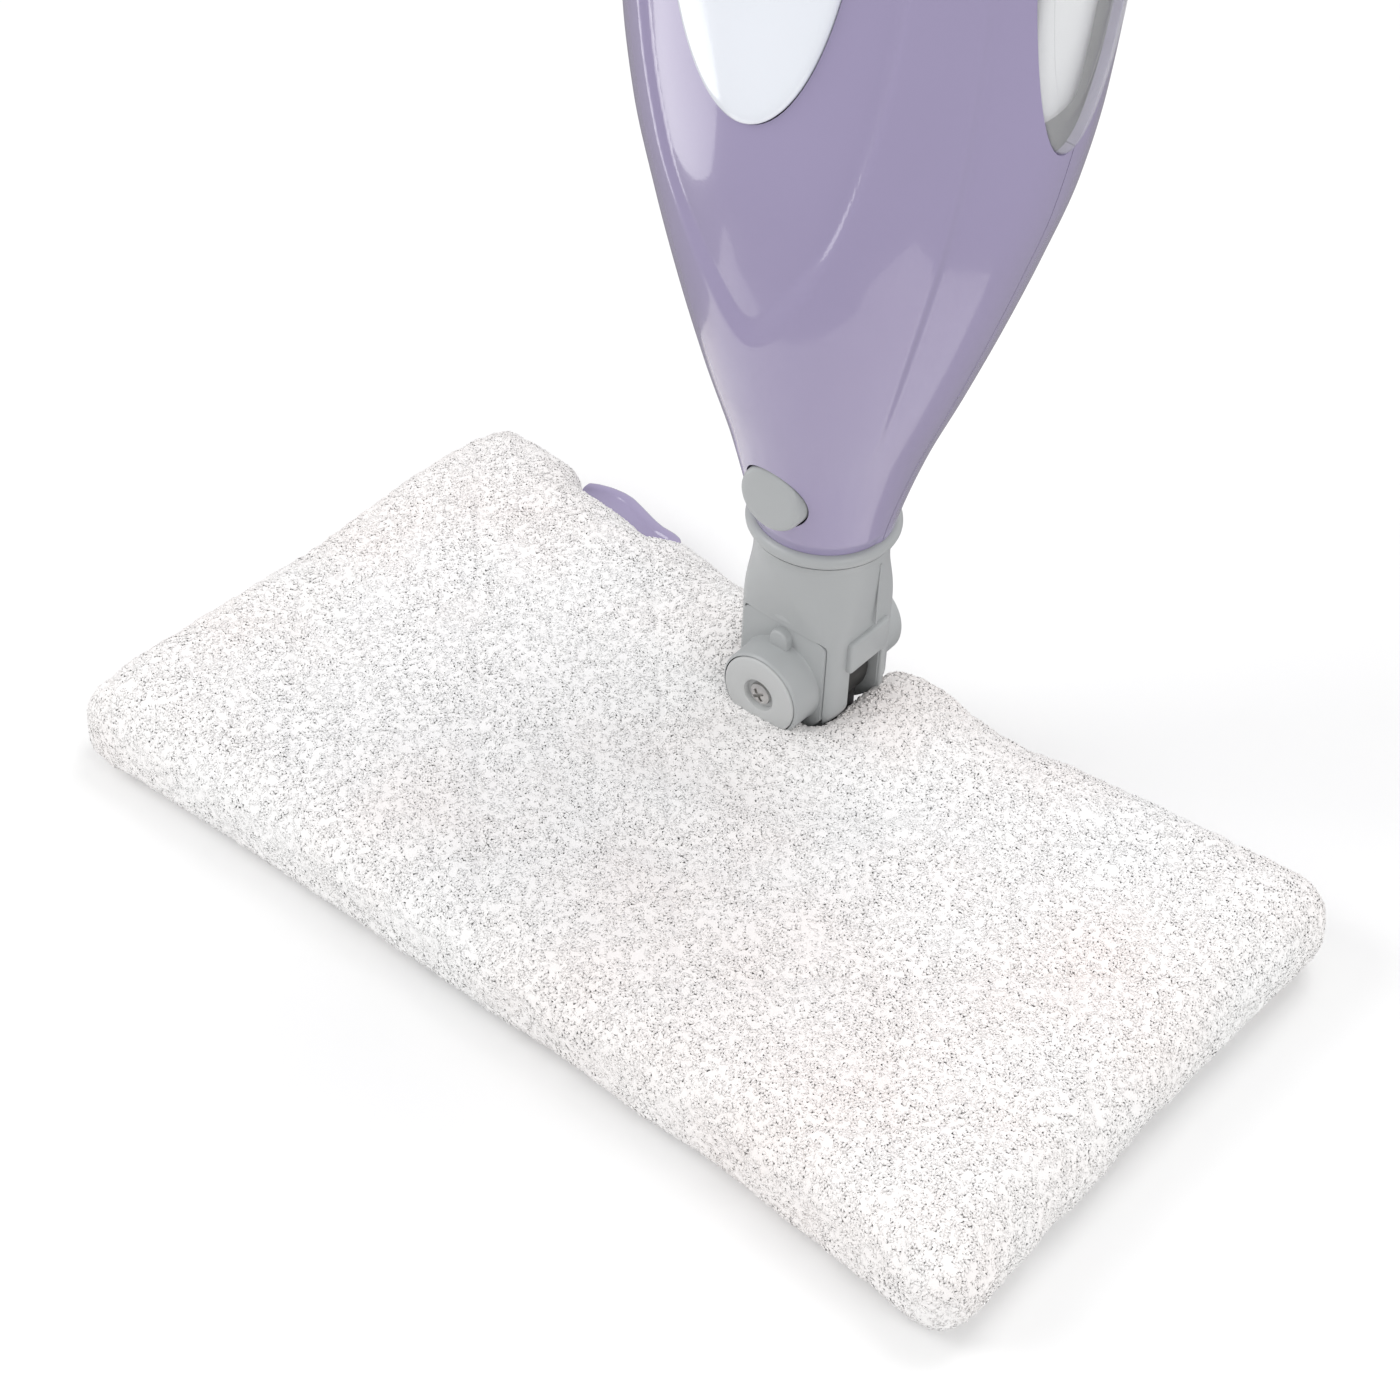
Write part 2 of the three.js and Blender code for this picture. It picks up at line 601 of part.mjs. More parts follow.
// flat cover on the fork, with the round boss that the disc sits in
function neckCover(side) {
  const inner = forkHalfDepth + gap;
  const outer = inner + coverThickness;
  const [y0, y1] = [side * inner, side * outer].sort((a, b) => a - b);
  const plate = box(-coverHalfWidth, coverHalfWidth, neckY + y0, neckY + y1, swingHeight - 16, coverTop)
    .intersect(box(-coverHalfWidth, coverHalfWidth, 0, padDepth, swingHeight, forkTop)
      .add(acrossStub(side, inner - 1, outer + 1, coverEndRadius, swingHeight, largeSides)));
  const [rib0, rib1] = [side * (outer - 1), side * (outer + 4)].sort((a, b) => a - b);
  const rib = upright(ribRadius, 0, neckY + side * outer, swingHeight + bossRadius - 2, coverTop, roundSides)
    .intersect(box(-2 * ribRadius, 2 * ribRadius, neckY + rib0, neckY + rib1, 0, coverTop + 1));
  return plate.add(rib).add(acrossStub(side, inner + 0.5, bossReach, bossRadius, swingHeight, largeSides))
    .subtract(acrossStub(side, inner - 1, bossReach + 1, stubRadius + gap, swingHeight, largeSides))
    .subtract(acrossStub(side, stubReach - gap, bossReach + 1, discRadius + 0.5, swingHeight, largeSides));
}

const spigotTop = buttonHeight - 16;

function steamSpigot() {
  const y = neckY;
  const bottom = slotTop + gap;
  return upright(6, 0, y, bottom, spigotTop, roundSides)
    .add(upright(sleeveRadius - sleeveWall - gap, 0, y, bottom + 6, bottom + 9, largeSides))
    .subtract(upright(3, 0, y, bottom - 1, spigotTop + 1, roundSides));
}

function spigotSeal() {
  return tube(sleeveRadius - sleeveWall - gap, 6 + gap, 0, neckY, spigotTop - 8, spigotTop - 4.5);
}

piece("neck_tube", neckTube(), grey);
piece("neck_cover_front", neckCover(-1), grey);
piece("neck_cover_rear", neckCover(1), grey);
piece("steam_spigot", steamSpigot(), brass);
piece("spigot_seal", spigotSeal(), rubber);

// ---- body shell ----

function bodyForm(inset, bottom = bodyBottom, top = bodyTop, rows = bodyRows) {
  return ovalStack(halfWidthAt, depthRatioAt, bottom, top, inset, rows);
}

// how far the body's surface stands before or behind the neck axis, at a place across it
function bodyDepthAt(x, z) {
  const width = halfWidthAt(z);
  return depthRatioAt(z) * Math.sqrt(width * width - x * x);
}

const panelBar = ovalAlongY(panelHalfWidth, panelHalfHeight, panelHeight, -100, -10);
const panelCut = ovalAlongY(panelHalfWidth + slack, panelHalfHeight + slack, panelHeight, -100, -10);
const windowBars = [[-100, -30], [30, 100]].map(([x0, x1]) =>
  ovalAlongX(windowHalfWidth, windowHalfHeight, panelHeight, x0, x1));
const windowCuts = [[-100, -30], [30, 100]].map(([x0, x1]) =>
  ovalAlongX(windowHalfWidth + slack, windowHalfHeight + slack, panelHeight, x0, x1));

function shellScrewPlaces() {
  const low = bodyBottom + 66;
  const high = bodyTop - 28;
  return [[-30, low], [30, low], [-24, high], [24, high]];
}

const bodyOuter = bodyForm(0);
const bodyHollow = ovalStack(halfWidthAt, depthRatioAt, bodyBottom - 2, bodyTop + 2, bodyWall, bodyRows);

function bodyShell(side) {
  const half = side < 0 ? box(-200, 200, neckY - 200, neckY - gap / 2, 0, 2000)
    : box(-200, 200, neckY + gap / 2, neckY + 200, 0, 2000);
  let shell = bodyOuter.subtract(bodyHollow);
  for (const [x, z] of shellScrewPlaces()) {
    shell = shell.add(alongY(4, x, z, -60, 60, roundSides).intersect(bodyOuter));
  }
  shell = shell.intersect(half);
  for (const cut of windowCuts) shell = shell.subtract(cut);
  for (const [x, z] of shellScrewPlaces()) {
    shell = shell.subtract(alongY(1.8, x, z, -12.5, 60, smallSides));
    shell = shell.subtract(alongY(3.6, x, z, 11, 60, roundSides));
  }
  return shell;
}

function frontShell() {
  return bodyShell(-1)
    .subtract(panelCut)
    .subtract(alongY(buttonRadius + slack, 0, buttonHeight, -60, -12, largeSides))
    .subtract(alongY(powerButtonRadius + slack, 0, powerButtonHeight, -80, 0, largeSides))
    .subtract(alongY(3 + gap, 0, indicatorHeight, -80, 0, roundSides));
}

function rearShell() {
  return bodyShell(1).subtract(alongY(capRadius + 1.2, 0, fillerHeight, 20, 80, largeSides));
}

function shellScrew(x, z) {
  return alongY(shellScrewRadius, x, z, -12, 11.3, smallSides).add(alongY(3.2, x, z, 11.3, 13.6, smallSides));
}

function frontPanel() {
  return bodyForm(-panelProud).subtract(bodyForm(bodyWall, bodyBottom - 2, bodyTop + 2)).intersect(panelBar);
}

function tankWindow(bar) {
  return bodyOuter.subtract(bodyHollow).intersect(bar);
}

// socket in the bottom of the body that drops over the neck's sleeve
function bodySocket() {
  const bore = sleeveRadius + 0.4;
  const outer = tubeRadius - tubeWall - gap;
  const webRadius = halfWidthAt(sleeveTop - 4) * depthRatioAt(sleeveTop) - bodyWall - 2;
  return turned([
    [bore, forkTop + 16], [outer, forkTop + 16], [outer, sleeveTop - 4], [webRadius, sleeveTop - 4],
    [webRadius, sleeveTop + 2], [bore, sleeveTop + 2], [bore, forkTop + 16],
  ]).subtract(alongY(buttonRadius + slack, 0, buttonHeight, -30, 0, largeSides));
}

piece("front_shell", frontShell(), lilac);
piece("rear_shell", rearShell(), lilac);
shellScrewPlaces().forEach(([x, z], i) => piece(`shell_screw_${i + 1}`, shellScrew(x, z), steel));
piece("front_panel", frontPanel(), white);
piece("tank_window_left", tankWindow(windowBars[0]), clear);
piece("tank_window_right", tankWindow(windowBars[1]), clear);
piece("body_socket", bodySocket(), grey);

// ---- release button ----

const buttonFace = -bodyDepthAt(0, buttonHeight) - 3;

function releaseButton() {
  const front = alongY(buttonRadius, 0, buttonHeight, buttonFace, -sleeveRadius - 4.5, largeSides);
  const domeRadius = 26;
  const dome = solid(new THREE.SphereGeometry(domeRadius, largeSides, largeSides)
    .translate(0, neckY + buttonFace + domeRadius, buttonHeight));
  const nose = alongY(6, 0, buttonHeight, -sleeveRadius - 5, -sleeveRadius + 3, largeSides);
  const pocket = alongY(8.6, 0, buttonHeight, buttonFace + 4, -sleeveRadius - 4, largeSides)
    .subtract(alongY(6, 0, buttonHeight, buttonFace, 0, largeSides));
  return front.intersect(dome).subtract(pocket).add(nose.intersect(dome));
}

function acrossRing(outer, inner, z, y0, y1) {
  return alongY(outer, 0, z, y0, y1, largeSides).subtract(alongY(inner, 0, z, y0 - 1, y1 + 1, largeSides));
}

// the spring that pushes the button out, as a sleeve the coil fills
function buttonSpring() {
  return acrossRing(8.2, 6.4, buttonHeight, buttonFace + 4 + gap, -sleeveRadius - 5);
}

piece("release_button", releaseButton(), grey);
piece("button_spring", buttonSpring(), steel);

// ---- what the body holds ----

function waterTank() {
  const inset = bodyWall + 4;
  const outer = bodyForm(inset, tankBottom, tankTop, innerRows)
    .intersect(box(-200, 200, neckY - 12, neckY + 200, 0, 2000));
  const inner = bodyForm(inset + tankWall, tankBottom + tankWall, tankTop - tankWall, innerRows)
    .intersect(box(-200, 200, neckY - 12 + tankWall, neckY + 200, 0, 2000));
  const reach = bodyDepthAt(0, fillerHeight) - 2;
  return outer.add(alongY(fillerRadius, 0, fillerHeight, 20, reach, largeSides))
    .subtract(inner)
    .subtract(alongY(fillerBore, 0, fillerHeight, 10, reach + 1, largeSides))
    .subtract(upright(3.4, 0, neckY + 10, tankBottom - 1, tankBottom + tankWall + 1, roundSides));
}

const fillerMouth = bodyDepthAt(0, fillerHeight) - 2;

function tankCap() {
  const seat = fillerMouth + 1.8 + gap;
  return alongY(capRadius, 0, fillerHeight, seat, seat + 5, largeSides)
    .add(alongY(fillerBore - 0.4, 0, fillerHeight, fillerMouth - 7, seat + 1, largeSides))
    .add(box(-13, 13, neckY + seat + 4, neckY + seat + 9, fillerHeight - 2.5, fillerHeight + 2.5));
}

function capSeal() {
  return acrossRing(fillerRadius - 0.2, fillerBore, fillerHeight, fillerMouth + gap, fillerMouth + 1.8);
}

function tankValve() {
  return upright(3, 0, neckY + 10, tankBottom - 6, tankBottom + tankWall + 3, roundSides)
    .add(upright(6, 0, neckY + 10, tankBottom - 6, tankBottom - gap, roundSides))
    .subtract(upright(1.6, 0, neckY + 10, tankBottom - 7, tankBottom + 7, smallSides));
}

const pumpY = 6;

function pump() {
  const [width, depth, height] = pumpSize;
  const [front, rear] = [neckY + pumpY - depth / 2, neckY + pumpY + depth / 2];
  return box(-width / 2, width / 2, front, rear, pumpBottom, pumpBottom + height)
    .add(alongX(5, neckY + pumpY, pumpBottom + 12, -width / 2 - 7, width / 2 + 7, roundSides));
}

function boiler() {
  return upright(boilerRadius, 0, neckY, boilerBottom, boilerTop, largeSides)
    .subtract(upright(boilerRadius - 4, 0, neckY, boilerBottom + 4, boilerTop - 4, largeSides))
    .subtract(upright(2.6, 0, neckY, boilerBottom - 1, boilerBottom + 6, smallSides))
    .subtract(upright(2.4, -15, neckY, boilerTop - 6, boilerTop + 1, smallSides));
}

function steamPipe() {
  return upright(2.6, 0, neckY, spigotTop - 5, boilerBottom - gap, smallSides)
    .add(upright(7, 0, neckY, boilerBottom - 4, boilerBottom - gap, roundSides))
    .subtract(upright(1.4, 0, neckY, spigotTop - 6, boilerBottom + 1, smallSides));
}

function tankHose() {
  const top = tankBottom - 6 - gap;
  return hose([[0, 10, top], [0, 10, top - 3], [0, 10, pumpBottom + pumpSize[2] + gap]], 3, 4);
}

function boilerHose() {
  const side = -pumpSize[0] / 2 - 7.5;
  const height = pumpBottom + 12;
  return hose([[side, pumpY, height], [side - 5, pumpY, height - 1], [side - 7, 5, height - 7],
    [side, 3, boilerTop + 6], [-17, 0, boilerTop + 4.5], [-15, 0, boilerTop + 1]], 2.2, 12);
}

function thermostat() {
  const face = boilerRadius + gap;
  return alongY(8, 0, boilerBottom + 25, -face - 5, -face, roundSides)
    .add(box(-6, 6, neckY - face - 8, neckY - face - 4, boilerBottom + 23, boilerBottom + 27));
}

function thermalFuse() {
  return upright(2.5, 0, neckY + boilerRadius + 3, boilerBottom + 16, boilerBottom + 34, smallSides);
}

function controlBoard() {
  return box(-20, 20, neckY - 24, neckY - 22.4, panelHeight - 30, panelHeight + 30)
    .add(box(-8, 8, neckY - 30, neckY - 23, panelHeight - 20, panelHeight - 4))
    .add(upright(5, 10, neckY - 30, panelHeight + 2, panelHeight + 20, roundSides)
      .add(box(6, 14, neckY - 27, neckY - 23, panelHeight + 6, panelHeight + 16)));
}

function indicatorLens() {
  const z = indicatorHeight;
  const face = -bodyDepthAt(0, z);
  return alongY(3, 0, z, face - 1, face + 6, roundSides);
}

piece("water_tank", waterTank(), tankPlastic);
piece("tank_valve", tankValve(), black);
piece("tank_cap", tankCap(), grey);
piece("cap_seal", capSeal(), rubber);
piece("pump", pump(), black);
piece("boiler", boiler(), aluminium);
piece("steam_pipe", steamPipe(), brass);
piece("tank_hose", tankHose(), silicone);
piece("boiler_hose", boilerHose(), silicone);
piece("thermostat", thermostat(), black);
piece("thermal_fuse", thermalFuse(), steel);
piece("control_board", controlBoard(), board);
piece("indicator_lens", indicatorLens(), redLens);

function powerButton() {
  const face = -bodyDepthAt(0, powerButtonHeight);
  return alongY(powerButtonRadius, 0, powerButtonHeight, face - 3, face + 6, largeSides);
}

piece("power_button", powerButton(), grey);

// ---- pole and cord hooks ----

function poleSocket() {
  const bore = poleRadius + gap;
  const seat = bodyTop + gap;
  return turned([
    [bore, poleBottom - 4], [18, poleBottom - 4], [18, seat], [bodyTopRadius, seat],
    [bodyTopRadius - 1, seat + 12], [poleRadius + 3, seat + 26], [bore, seat + 26], [bore, poleBottom - 4],
  ]);
}

function pole() {
  return tube(poleRadius, poleRadius - poleWall, 0, neckY, poleBottom, poleTop);
}

// a clip round the pole with an arm and a lip; up is 1 for a lip that points up, -1 for down
function cordHook(height, up) {
  const ring = poleRadius + 4.5;
  const lip = [height, height + up * hookLip].sort((a, b) => a - b);
  return upright(ring, 0, neckY, height - 11, height + 11, largeSides)
    .add(box(-hookWidth / 2, hookWidth / 2, neckY + 5, neckY + hookReach, height - hookThickness / 2,
      height + hookThickness / 2))
    .add(box(-hookWidth / 2, hookWidth / 2, neckY + hookReach - hookThickness, neckY + hookReach,
      lip[0], lip[1]))
    .subtract(upright(poleRadius + gap, 0, neckY, height - 30, height + 30, largeSides));
}

const lowerHookHeight = bodyTop + 62;
const upperHookHeight = gripBottom - 34;

piece("pole_socket", poleSocket(), grey);
piece("pole", pole(), aluminium);
piece("lower_cord_hook", cordHook(lowerHookHeight, -1), grey);
piece("upper_cord_hook", cordHook(upperHookHeight, 1), grey);

// ---- grip ----

const gripWidthAt = through([
  [0, poleRadius + 3], [0.12, gripRadius - 1], [0.35, gripRadius - 2], [0.6, gripRadius],
  [0.84, gripRadius + 2], [0.95, gripRadius - 2], [1, gripRadius - 9],
].map(([rise, radius]) => [gripBottom + rise * gripLength, radius]));
const gripRatioAt = through([
  [gripBottom, 1], [gripBottom + 0.2 * gripLength, gripDepthRatio], [gripTop, gripDepthRatio],
]);
const bandBottom = gripBottom + sleeveBand[0] * gripLength;
const bandTop = gripBottom + sleeveBand[1] * gripLength;
const triggerPivot = [0, -gripRadius + 4, bandBottom - 8];
const triggerLength = 46;

function gripForm(inset, bottom, top, rows) {
  return ovalStack(gripWidthAt, gripRatioAt, bottom, top, inset, rows, largeSides);
}

function gripShell(side) {
  const half = side < 0 ? box(-200, 200, neckY - 200, neckY - gap / 2, 0, 3000)
    : box(-200, 200, neckY + gap / 2, neckY + 200, 0, 3000);
  const band = gripForm(-3, bandBottom - gap, bandTop + gap, 6)
    .subtract(gripForm(sleeveThickness, bandBottom - 5, bandTop + 5, 6));
  const hollow = gripForm(gripWall + sleeveThickness, gripBottom + 20, gripTop - gripWall - 2, innerRows)
    .add(upright(poleRadius + gap, 0, neckY, gripBottom - 1, poleTop + gap, largeSides));
  return gripForm(0, gripBottom, gripTop, gripRows).subtract(band).subtract(hollow).intersect(half);
}

const triggerSlot = box(-8, 8, neckY - 60, neckY - 6, triggerPivot[2] - triggerLength - 1,
  triggerPivot[2] + 6);
const glandHeight = gripBottom + 26;

function gripFrontShell() {
  return gripShell(-1).subtract(triggerSlot);
}

function gripRearShell() {
  const hole = glandRadius - 1.5 + gap;
  return gripShell(1).subtract(alongY(hole, 0, glandHeight, poleRadius + 1, 60, roundSides));
}

function gripSleeve() {
  return gripForm(-0.3, bandBottom, bandTop, 5)
    .subtract(gripForm(sleeveThickness - gap, bandBottom - 6, bandTop + 6, 6));
}

// finger lever, hung from a pin inside the grip and standing out in front of it
function trigger() {
  const [, y, z] = triggerPivot;
  const shape = new THREE.Shape();
  shape.moveTo(y + 3, z + 3);
  shape.lineTo(y - 5, z + 3);
  shape.bezierCurveTo(y - 14, z - 8, y - 15, z - triggerLength * 0.5, y - 13, z - triggerLength + 6);
  shape.bezierCurveTo(y - 12, z - triggerLength + 1, y - 9, z - triggerLength, y - 5, z - triggerLength);
  shape.lineTo(y - 1, z - 6);
  shape.lineTo(y + 3, z - 3);
  const geometry = new THREE.ExtrudeGeometry(shape, { depth: 14, bevelEnabled: false, curveSegments: 10 });
  const matrix = new THREE.Matrix4().makeBasis(
    new THREE.Vector3(0, 1, 0), new THREE.Vector3(0, 0, 1), new THREE.Vector3(1, 0, 0));
  return solid(geometry.applyMatrix4(matrix).translate(-7, neckY, 0));
}

function steamSwitch() {
  const z = triggerPivot[2] - 18;
  return box(-6, 6, neckY - 3, neckY + 4, z - 9, z + 9);
}

function cordGland() {
  const outside = gripDepthRatio * gripRadius;
  return alongY(glandRadius - 1.5, 0, glandHeight, poleRadius + 2, outside + 1, roundSides)
    .add(alongY(glandRadius, 0, glandHeight, outside - 0.5, outside + 9, largeSides))
    .subtract(alongY(glandBore, 0, glandHeight, 0, 60, roundSides));
}

piece("grip_front_shell", gripFrontShell(), lilac);
piece("grip_rear_shell", gripRearShell(), lilac);
piece("grip_sleeve", gripSleeve(), grey);
piece("trigger", trigger(), grey);
piece("steam_switch", steamSwitch(), black);
piece("cord_gland", cordGland(), rubber);

export default assembly;
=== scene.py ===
import math

import bmesh
import bpy
import numpy as np
from mathutils import Matrix, Vector


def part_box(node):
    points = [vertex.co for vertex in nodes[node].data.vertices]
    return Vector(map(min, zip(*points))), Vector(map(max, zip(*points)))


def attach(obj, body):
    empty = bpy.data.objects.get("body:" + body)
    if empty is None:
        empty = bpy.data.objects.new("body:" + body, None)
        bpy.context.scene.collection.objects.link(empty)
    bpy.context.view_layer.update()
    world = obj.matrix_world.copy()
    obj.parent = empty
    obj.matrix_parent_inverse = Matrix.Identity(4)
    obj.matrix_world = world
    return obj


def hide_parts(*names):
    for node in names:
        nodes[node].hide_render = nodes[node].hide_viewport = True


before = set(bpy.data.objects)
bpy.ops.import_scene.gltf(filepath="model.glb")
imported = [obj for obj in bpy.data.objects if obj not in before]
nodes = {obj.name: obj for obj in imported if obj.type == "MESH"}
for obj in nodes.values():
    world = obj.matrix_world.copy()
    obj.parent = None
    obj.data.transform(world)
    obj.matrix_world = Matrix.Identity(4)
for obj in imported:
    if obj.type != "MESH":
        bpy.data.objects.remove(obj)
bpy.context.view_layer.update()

mm = 0.001


# ---- studio ----
# Seamless white paper on the floor, with soft light from both sides and above. To glossy rays the paper shows
# a flat dark emission instead of its lit colour. This painted reflection makes it darker in the mop's gloss,
# standing in for paper that falls off into an unlit room.
paper_size = 16.0
paper_white = (0.93, 0.93, 0.93, 1)
painted_paper_reflection = (0.30, 0.29, 0.31, 1)


def deselect():
    if bpy.context.object and bpy.context.object.mode != "OBJECT":
        bpy.ops.object.mode_set(mode="OBJECT")
    bpy.ops.object.select_all(action="DESELECT")


deselect()
bpy.ops.mesh.primitive_plane_add(size=paper_size, location=(0, 0, -0.0002))
paper = bpy.context.object
paper.name = "paper_floor"
bpy.ops.object.transform_apply(location=True, rotation=True, scale=True)
paper_finish = bpy.data.materials.new("white_paper")
paper_finish.use_nodes = True
tree = paper_finish.node_tree
tree.nodes["Principled BSDF"].inputs["Base Color"].default_value = paper_white
tree.nodes["Principled BSDF"].inputs["Roughness"].default_value = 0.9
tree.nodes["Principled BSDF"].inputs["Specular IOR Level"].default_value = 0.1
# Painted reflection: a dark emission that glossy rays see in place of the paper.
painted_reflection = tree.nodes.new("ShaderNodeEmission")
painted_reflection.inputs["Color"].default_value = painted_paper_reflection
ray = tree.nodes.new("ShaderNodeLightPath")
either = tree.nodes.new("ShaderNodeMixShader")
tree.links.new(ray.outputs["Is Glossy Ray"], either.inputs[0])
tree.links.new(tree.nodes["Principled BSDF"].outputs[0], either.inputs[1])
tree.links.new(painted_reflection.outputs[0], either.inputs[2])
tree.links.new(either.outputs[0], tree.nodes["Material Output"].inputs["Surface"])
paper.data.materials.append(paper_finish)

world = bpy.data.worlds.new("studio")
bpy.context.scene.world = world
world.use_nodes = True
world.node_tree.nodes["Background"].inputs["Color"].default_value = (1, 1, 1, 1)
world.node_tree.nodes["Background"].inputs["Strength"].default_value = 0.72
bpy.context.scene.view_settings.view_transform = "Standard"

for lamp_name, place, aim, width, power in [
    ("softbox_left", (-1.0, -0.9, 1.25), (0, 0, 0.15), 0.9, 9.5),
    ("softbox_right", (1.25, -0.35, 0.9), (0, 0, 0.2), 0.6, 4.0),
    ("softbox_above", (0.1, 0.7, 1.9), (0, 0, 0.2), 0.9, 9.0),
]:
    lamp = bpy.data.lights.new(lamp_name, "AREA")
    lamp.energy = power
    lamp.size = width
    lamp_object = bpy.data.objects.new(lamp_name, lamp)
    bpy.context.scene.collection.objects.link(lamp_object)
    lamp_object.location = place
    lamp_object.rotation_mode = "QUATERNION"
    lamp_object.rotation_quaternion = (Vector(aim) - Vector(place)).to_track_quat("-Z", "Y")

# A glowing card lying to the left, seen only in the mop's gloss, is a painted highlight: it draws the long
# light band on the body and lights nothing else.
card_tip, card_half_width, card_length, highlight_brightness = (-0.36, -0.125, 0.0002), 0.125, 0.5, 1.9
deselect()
bpy.ops.mesh.primitive_circle_add(vertices=48, radius=card_half_width, fill_type="NGON", location=card_tip)
card = bpy.context.object
card.name = "painted_highlight_card"
for vertex in card.data.vertices:
    if vertex.co.x < 0:
        vertex.co.x -= card_length
bpy.ops.object.transform_apply(location=True, rotation=True, scale=True)
card_finish = bpy.data.materials.new("painted_highlight_card")
card_finish.use_nodes = True
card_tree = card_finish.node_tree
# The card's glow is a painted highlight, shown to glossy rays only.
highlight_glow = card_tree.nodes.new("ShaderNodeEmission")
highlight_glow.inputs["Strength"].default_value = highlight_brightness
card_tree.links.new(highlight_glow.outputs[0], card_tree.nodes["Material Output"].inputs["Surface"])
card.data.materials.append(card_finish)
card.visible_camera = card.visible_diffuse = card.visible_shadow = card.visible_transmission = False

camera_azimuth, camera_elevation, camera_roll = math.radians(38), math.radians(42.6), math.radians(2.7)
camera_aim, camera_distance, camera_lens = Vector((-0.0015, 0.002, 0.060)), 0.902, 84.86
back = Vector((math.sin(camera_azimuth) * math.cos(camera_elevation),
               -math.cos(camera_azimuth) * math.cos(camera_elevation), math.sin(camera_elevation)))
right = Vector((math.cos(camera_azimuth), math.sin(camera_azimuth), 0))
up = back.cross(right)
rolled_right = right * math.cos(camera_roll) + up * math.sin(camera_roll)
rolled_up = up * math.cos(camera_roll) - right * math.sin(camera_roll)
camera_data = bpy.data.cameras.new("camera")
camera_data.lens = camera_lens
camera_data.sensor_width = 36
camera_data.clip_start, camera_data.clip_end = 0.01, 50
camera = bpy.data.objects.new("camera", camera_data)
bpy.context.scene.collection.objects.link(camera)
camera.matrix_world = Matrix.Translation(camera_aim + back * camera_distance) @ Matrix(
    (rolled_right, rolled_up, back)).transposed().to_4x4()
bpy.context.scene.camera = camera


# ---- mop pad ----
# A bag of looped white microfibre terry over foam, pulled over the head and gathered round the
# neck. It is quilted in diamonds and its rear edge is slit for the neck.
pad_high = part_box("mop_pad")[1]
neck_y = sum(c.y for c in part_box("pole")) / 2
pad_half_length, pad_half_depth = pad_high.x + 1.0 * mm, 90.2 * mm
pad_thickness, pad_corner, pad_scoop = 28.5 * mm, 12 * mm, 11 * mm
pad_lift, pad_sole, pad_edge = 1.5 * mm, 6.5 * mm, 11 * mm
pad_voxel, pad_swell_cap = 4.5 * mm, 3.4 * mm
neck_opening_width, neck_opening_front = 15.5 * mm, -15.6 * mm


def pick(piece):
    """Leave that piece alone selected and active."""
    deselect()
    piece.select_set(True)
    bpy.context.view_layer.objects.active = piece


def mesh_piece(name, points, faces):
    mesh = bpy.data.meshes.new(name)
    mesh.from_pydata([tuple(p) for p in points], [], faces)
    piece = bpy.data.objects.new(name, mesh)
    bpy.context.scene.collection.objects.link(piece)
    pick(piece)
    return piece


def outward(piece):
    pick(piece)
    bpy.ops.object.mode_set(mode="EDIT")
    bpy.ops.mesh.select_all(action="SELECT")
    bpy.ops.mesh.remove_doubles(threshold=1e-6)
    bpy.ops.mesh.normals_make_consistent(inside=False)
    bpy.ops.object.mode_set(mode="OBJECT")


def apply_modifier(piece, kind, **settings):
    pick(piece)
    modifier = piece.modifiers.new(kind.lower(), kind)
    for key, value in settings.items():
        setattr(modifier, key, value)
    bpy.ops.object.modifier_apply(modifier=modifier.name)


def block(name, low, high, edge=0.0, segments=3):
    deselect()
    bpy.ops.mesh.primitive_cube_add(size=1, location=[(a + b) / 2 for a, b in zip(low, high)])
    piece = bpy.context.object
    piece.name = name
    piece.scale = [b - a for a, b in zip(low, high)]
    bpy.ops.object.transform_apply(location=True, rotation=True, scale=True)
    if edge:
        bpy.ops.object.mode_set(mode="EDIT")
        bpy.ops.mesh.select_all(action="SELECT")
        bpy.ops.mesh.bevel(offset=edge, segments=segments, affect="EDGES")
        bpy.ops.object.mode_set(mode="OBJECT")
    return piece


def boolean(piece, other, operation="DIFFERENCE"):
    apply_modifier(piece, "BOOLEAN", object=other, operation=operation, solver="EXACT")
    bpy.data.objects.remove(other)


def join(piece, *others):
    deselect()
    for other in others:
        other.select_set(True)
    piece.select_set(True)
    bpy.context.view_layer.objects.active = piece
    bpy.ops.object.join()
    return piece


def lattice_noise(points, size, seed):
    """Smooth noise from -1 to 1 over the points, with lumps of that size."""
    table = np.random.default_rng(seed).uniform(-1, 1, (32, 32, 32))
    q = points / size
    cell = np.floor(q).astype(int)
    f = q - cell
    f = f * f * (3 - 2 * f)
    total = np.zeros(len(points))
    for i in (0, 1):
        for j in (0, 1):
            for k in (0, 1):
                share = (np.abs(1 - i - f[:, 0]) * np.abs(1 - j - f[:, 1]) * np.abs(1 - k - f[:, 2]))
                total += share * table[(cell[:, 0] + i) % 32, (cell[:, 1] + j) % 32, (cell[:, 2] + k) % 32]
    return total


def ramp(value, low, high):
    t = np.clip((value - low) / (high - low), 0, 1)
    return t * t * (3 - 2 * t)


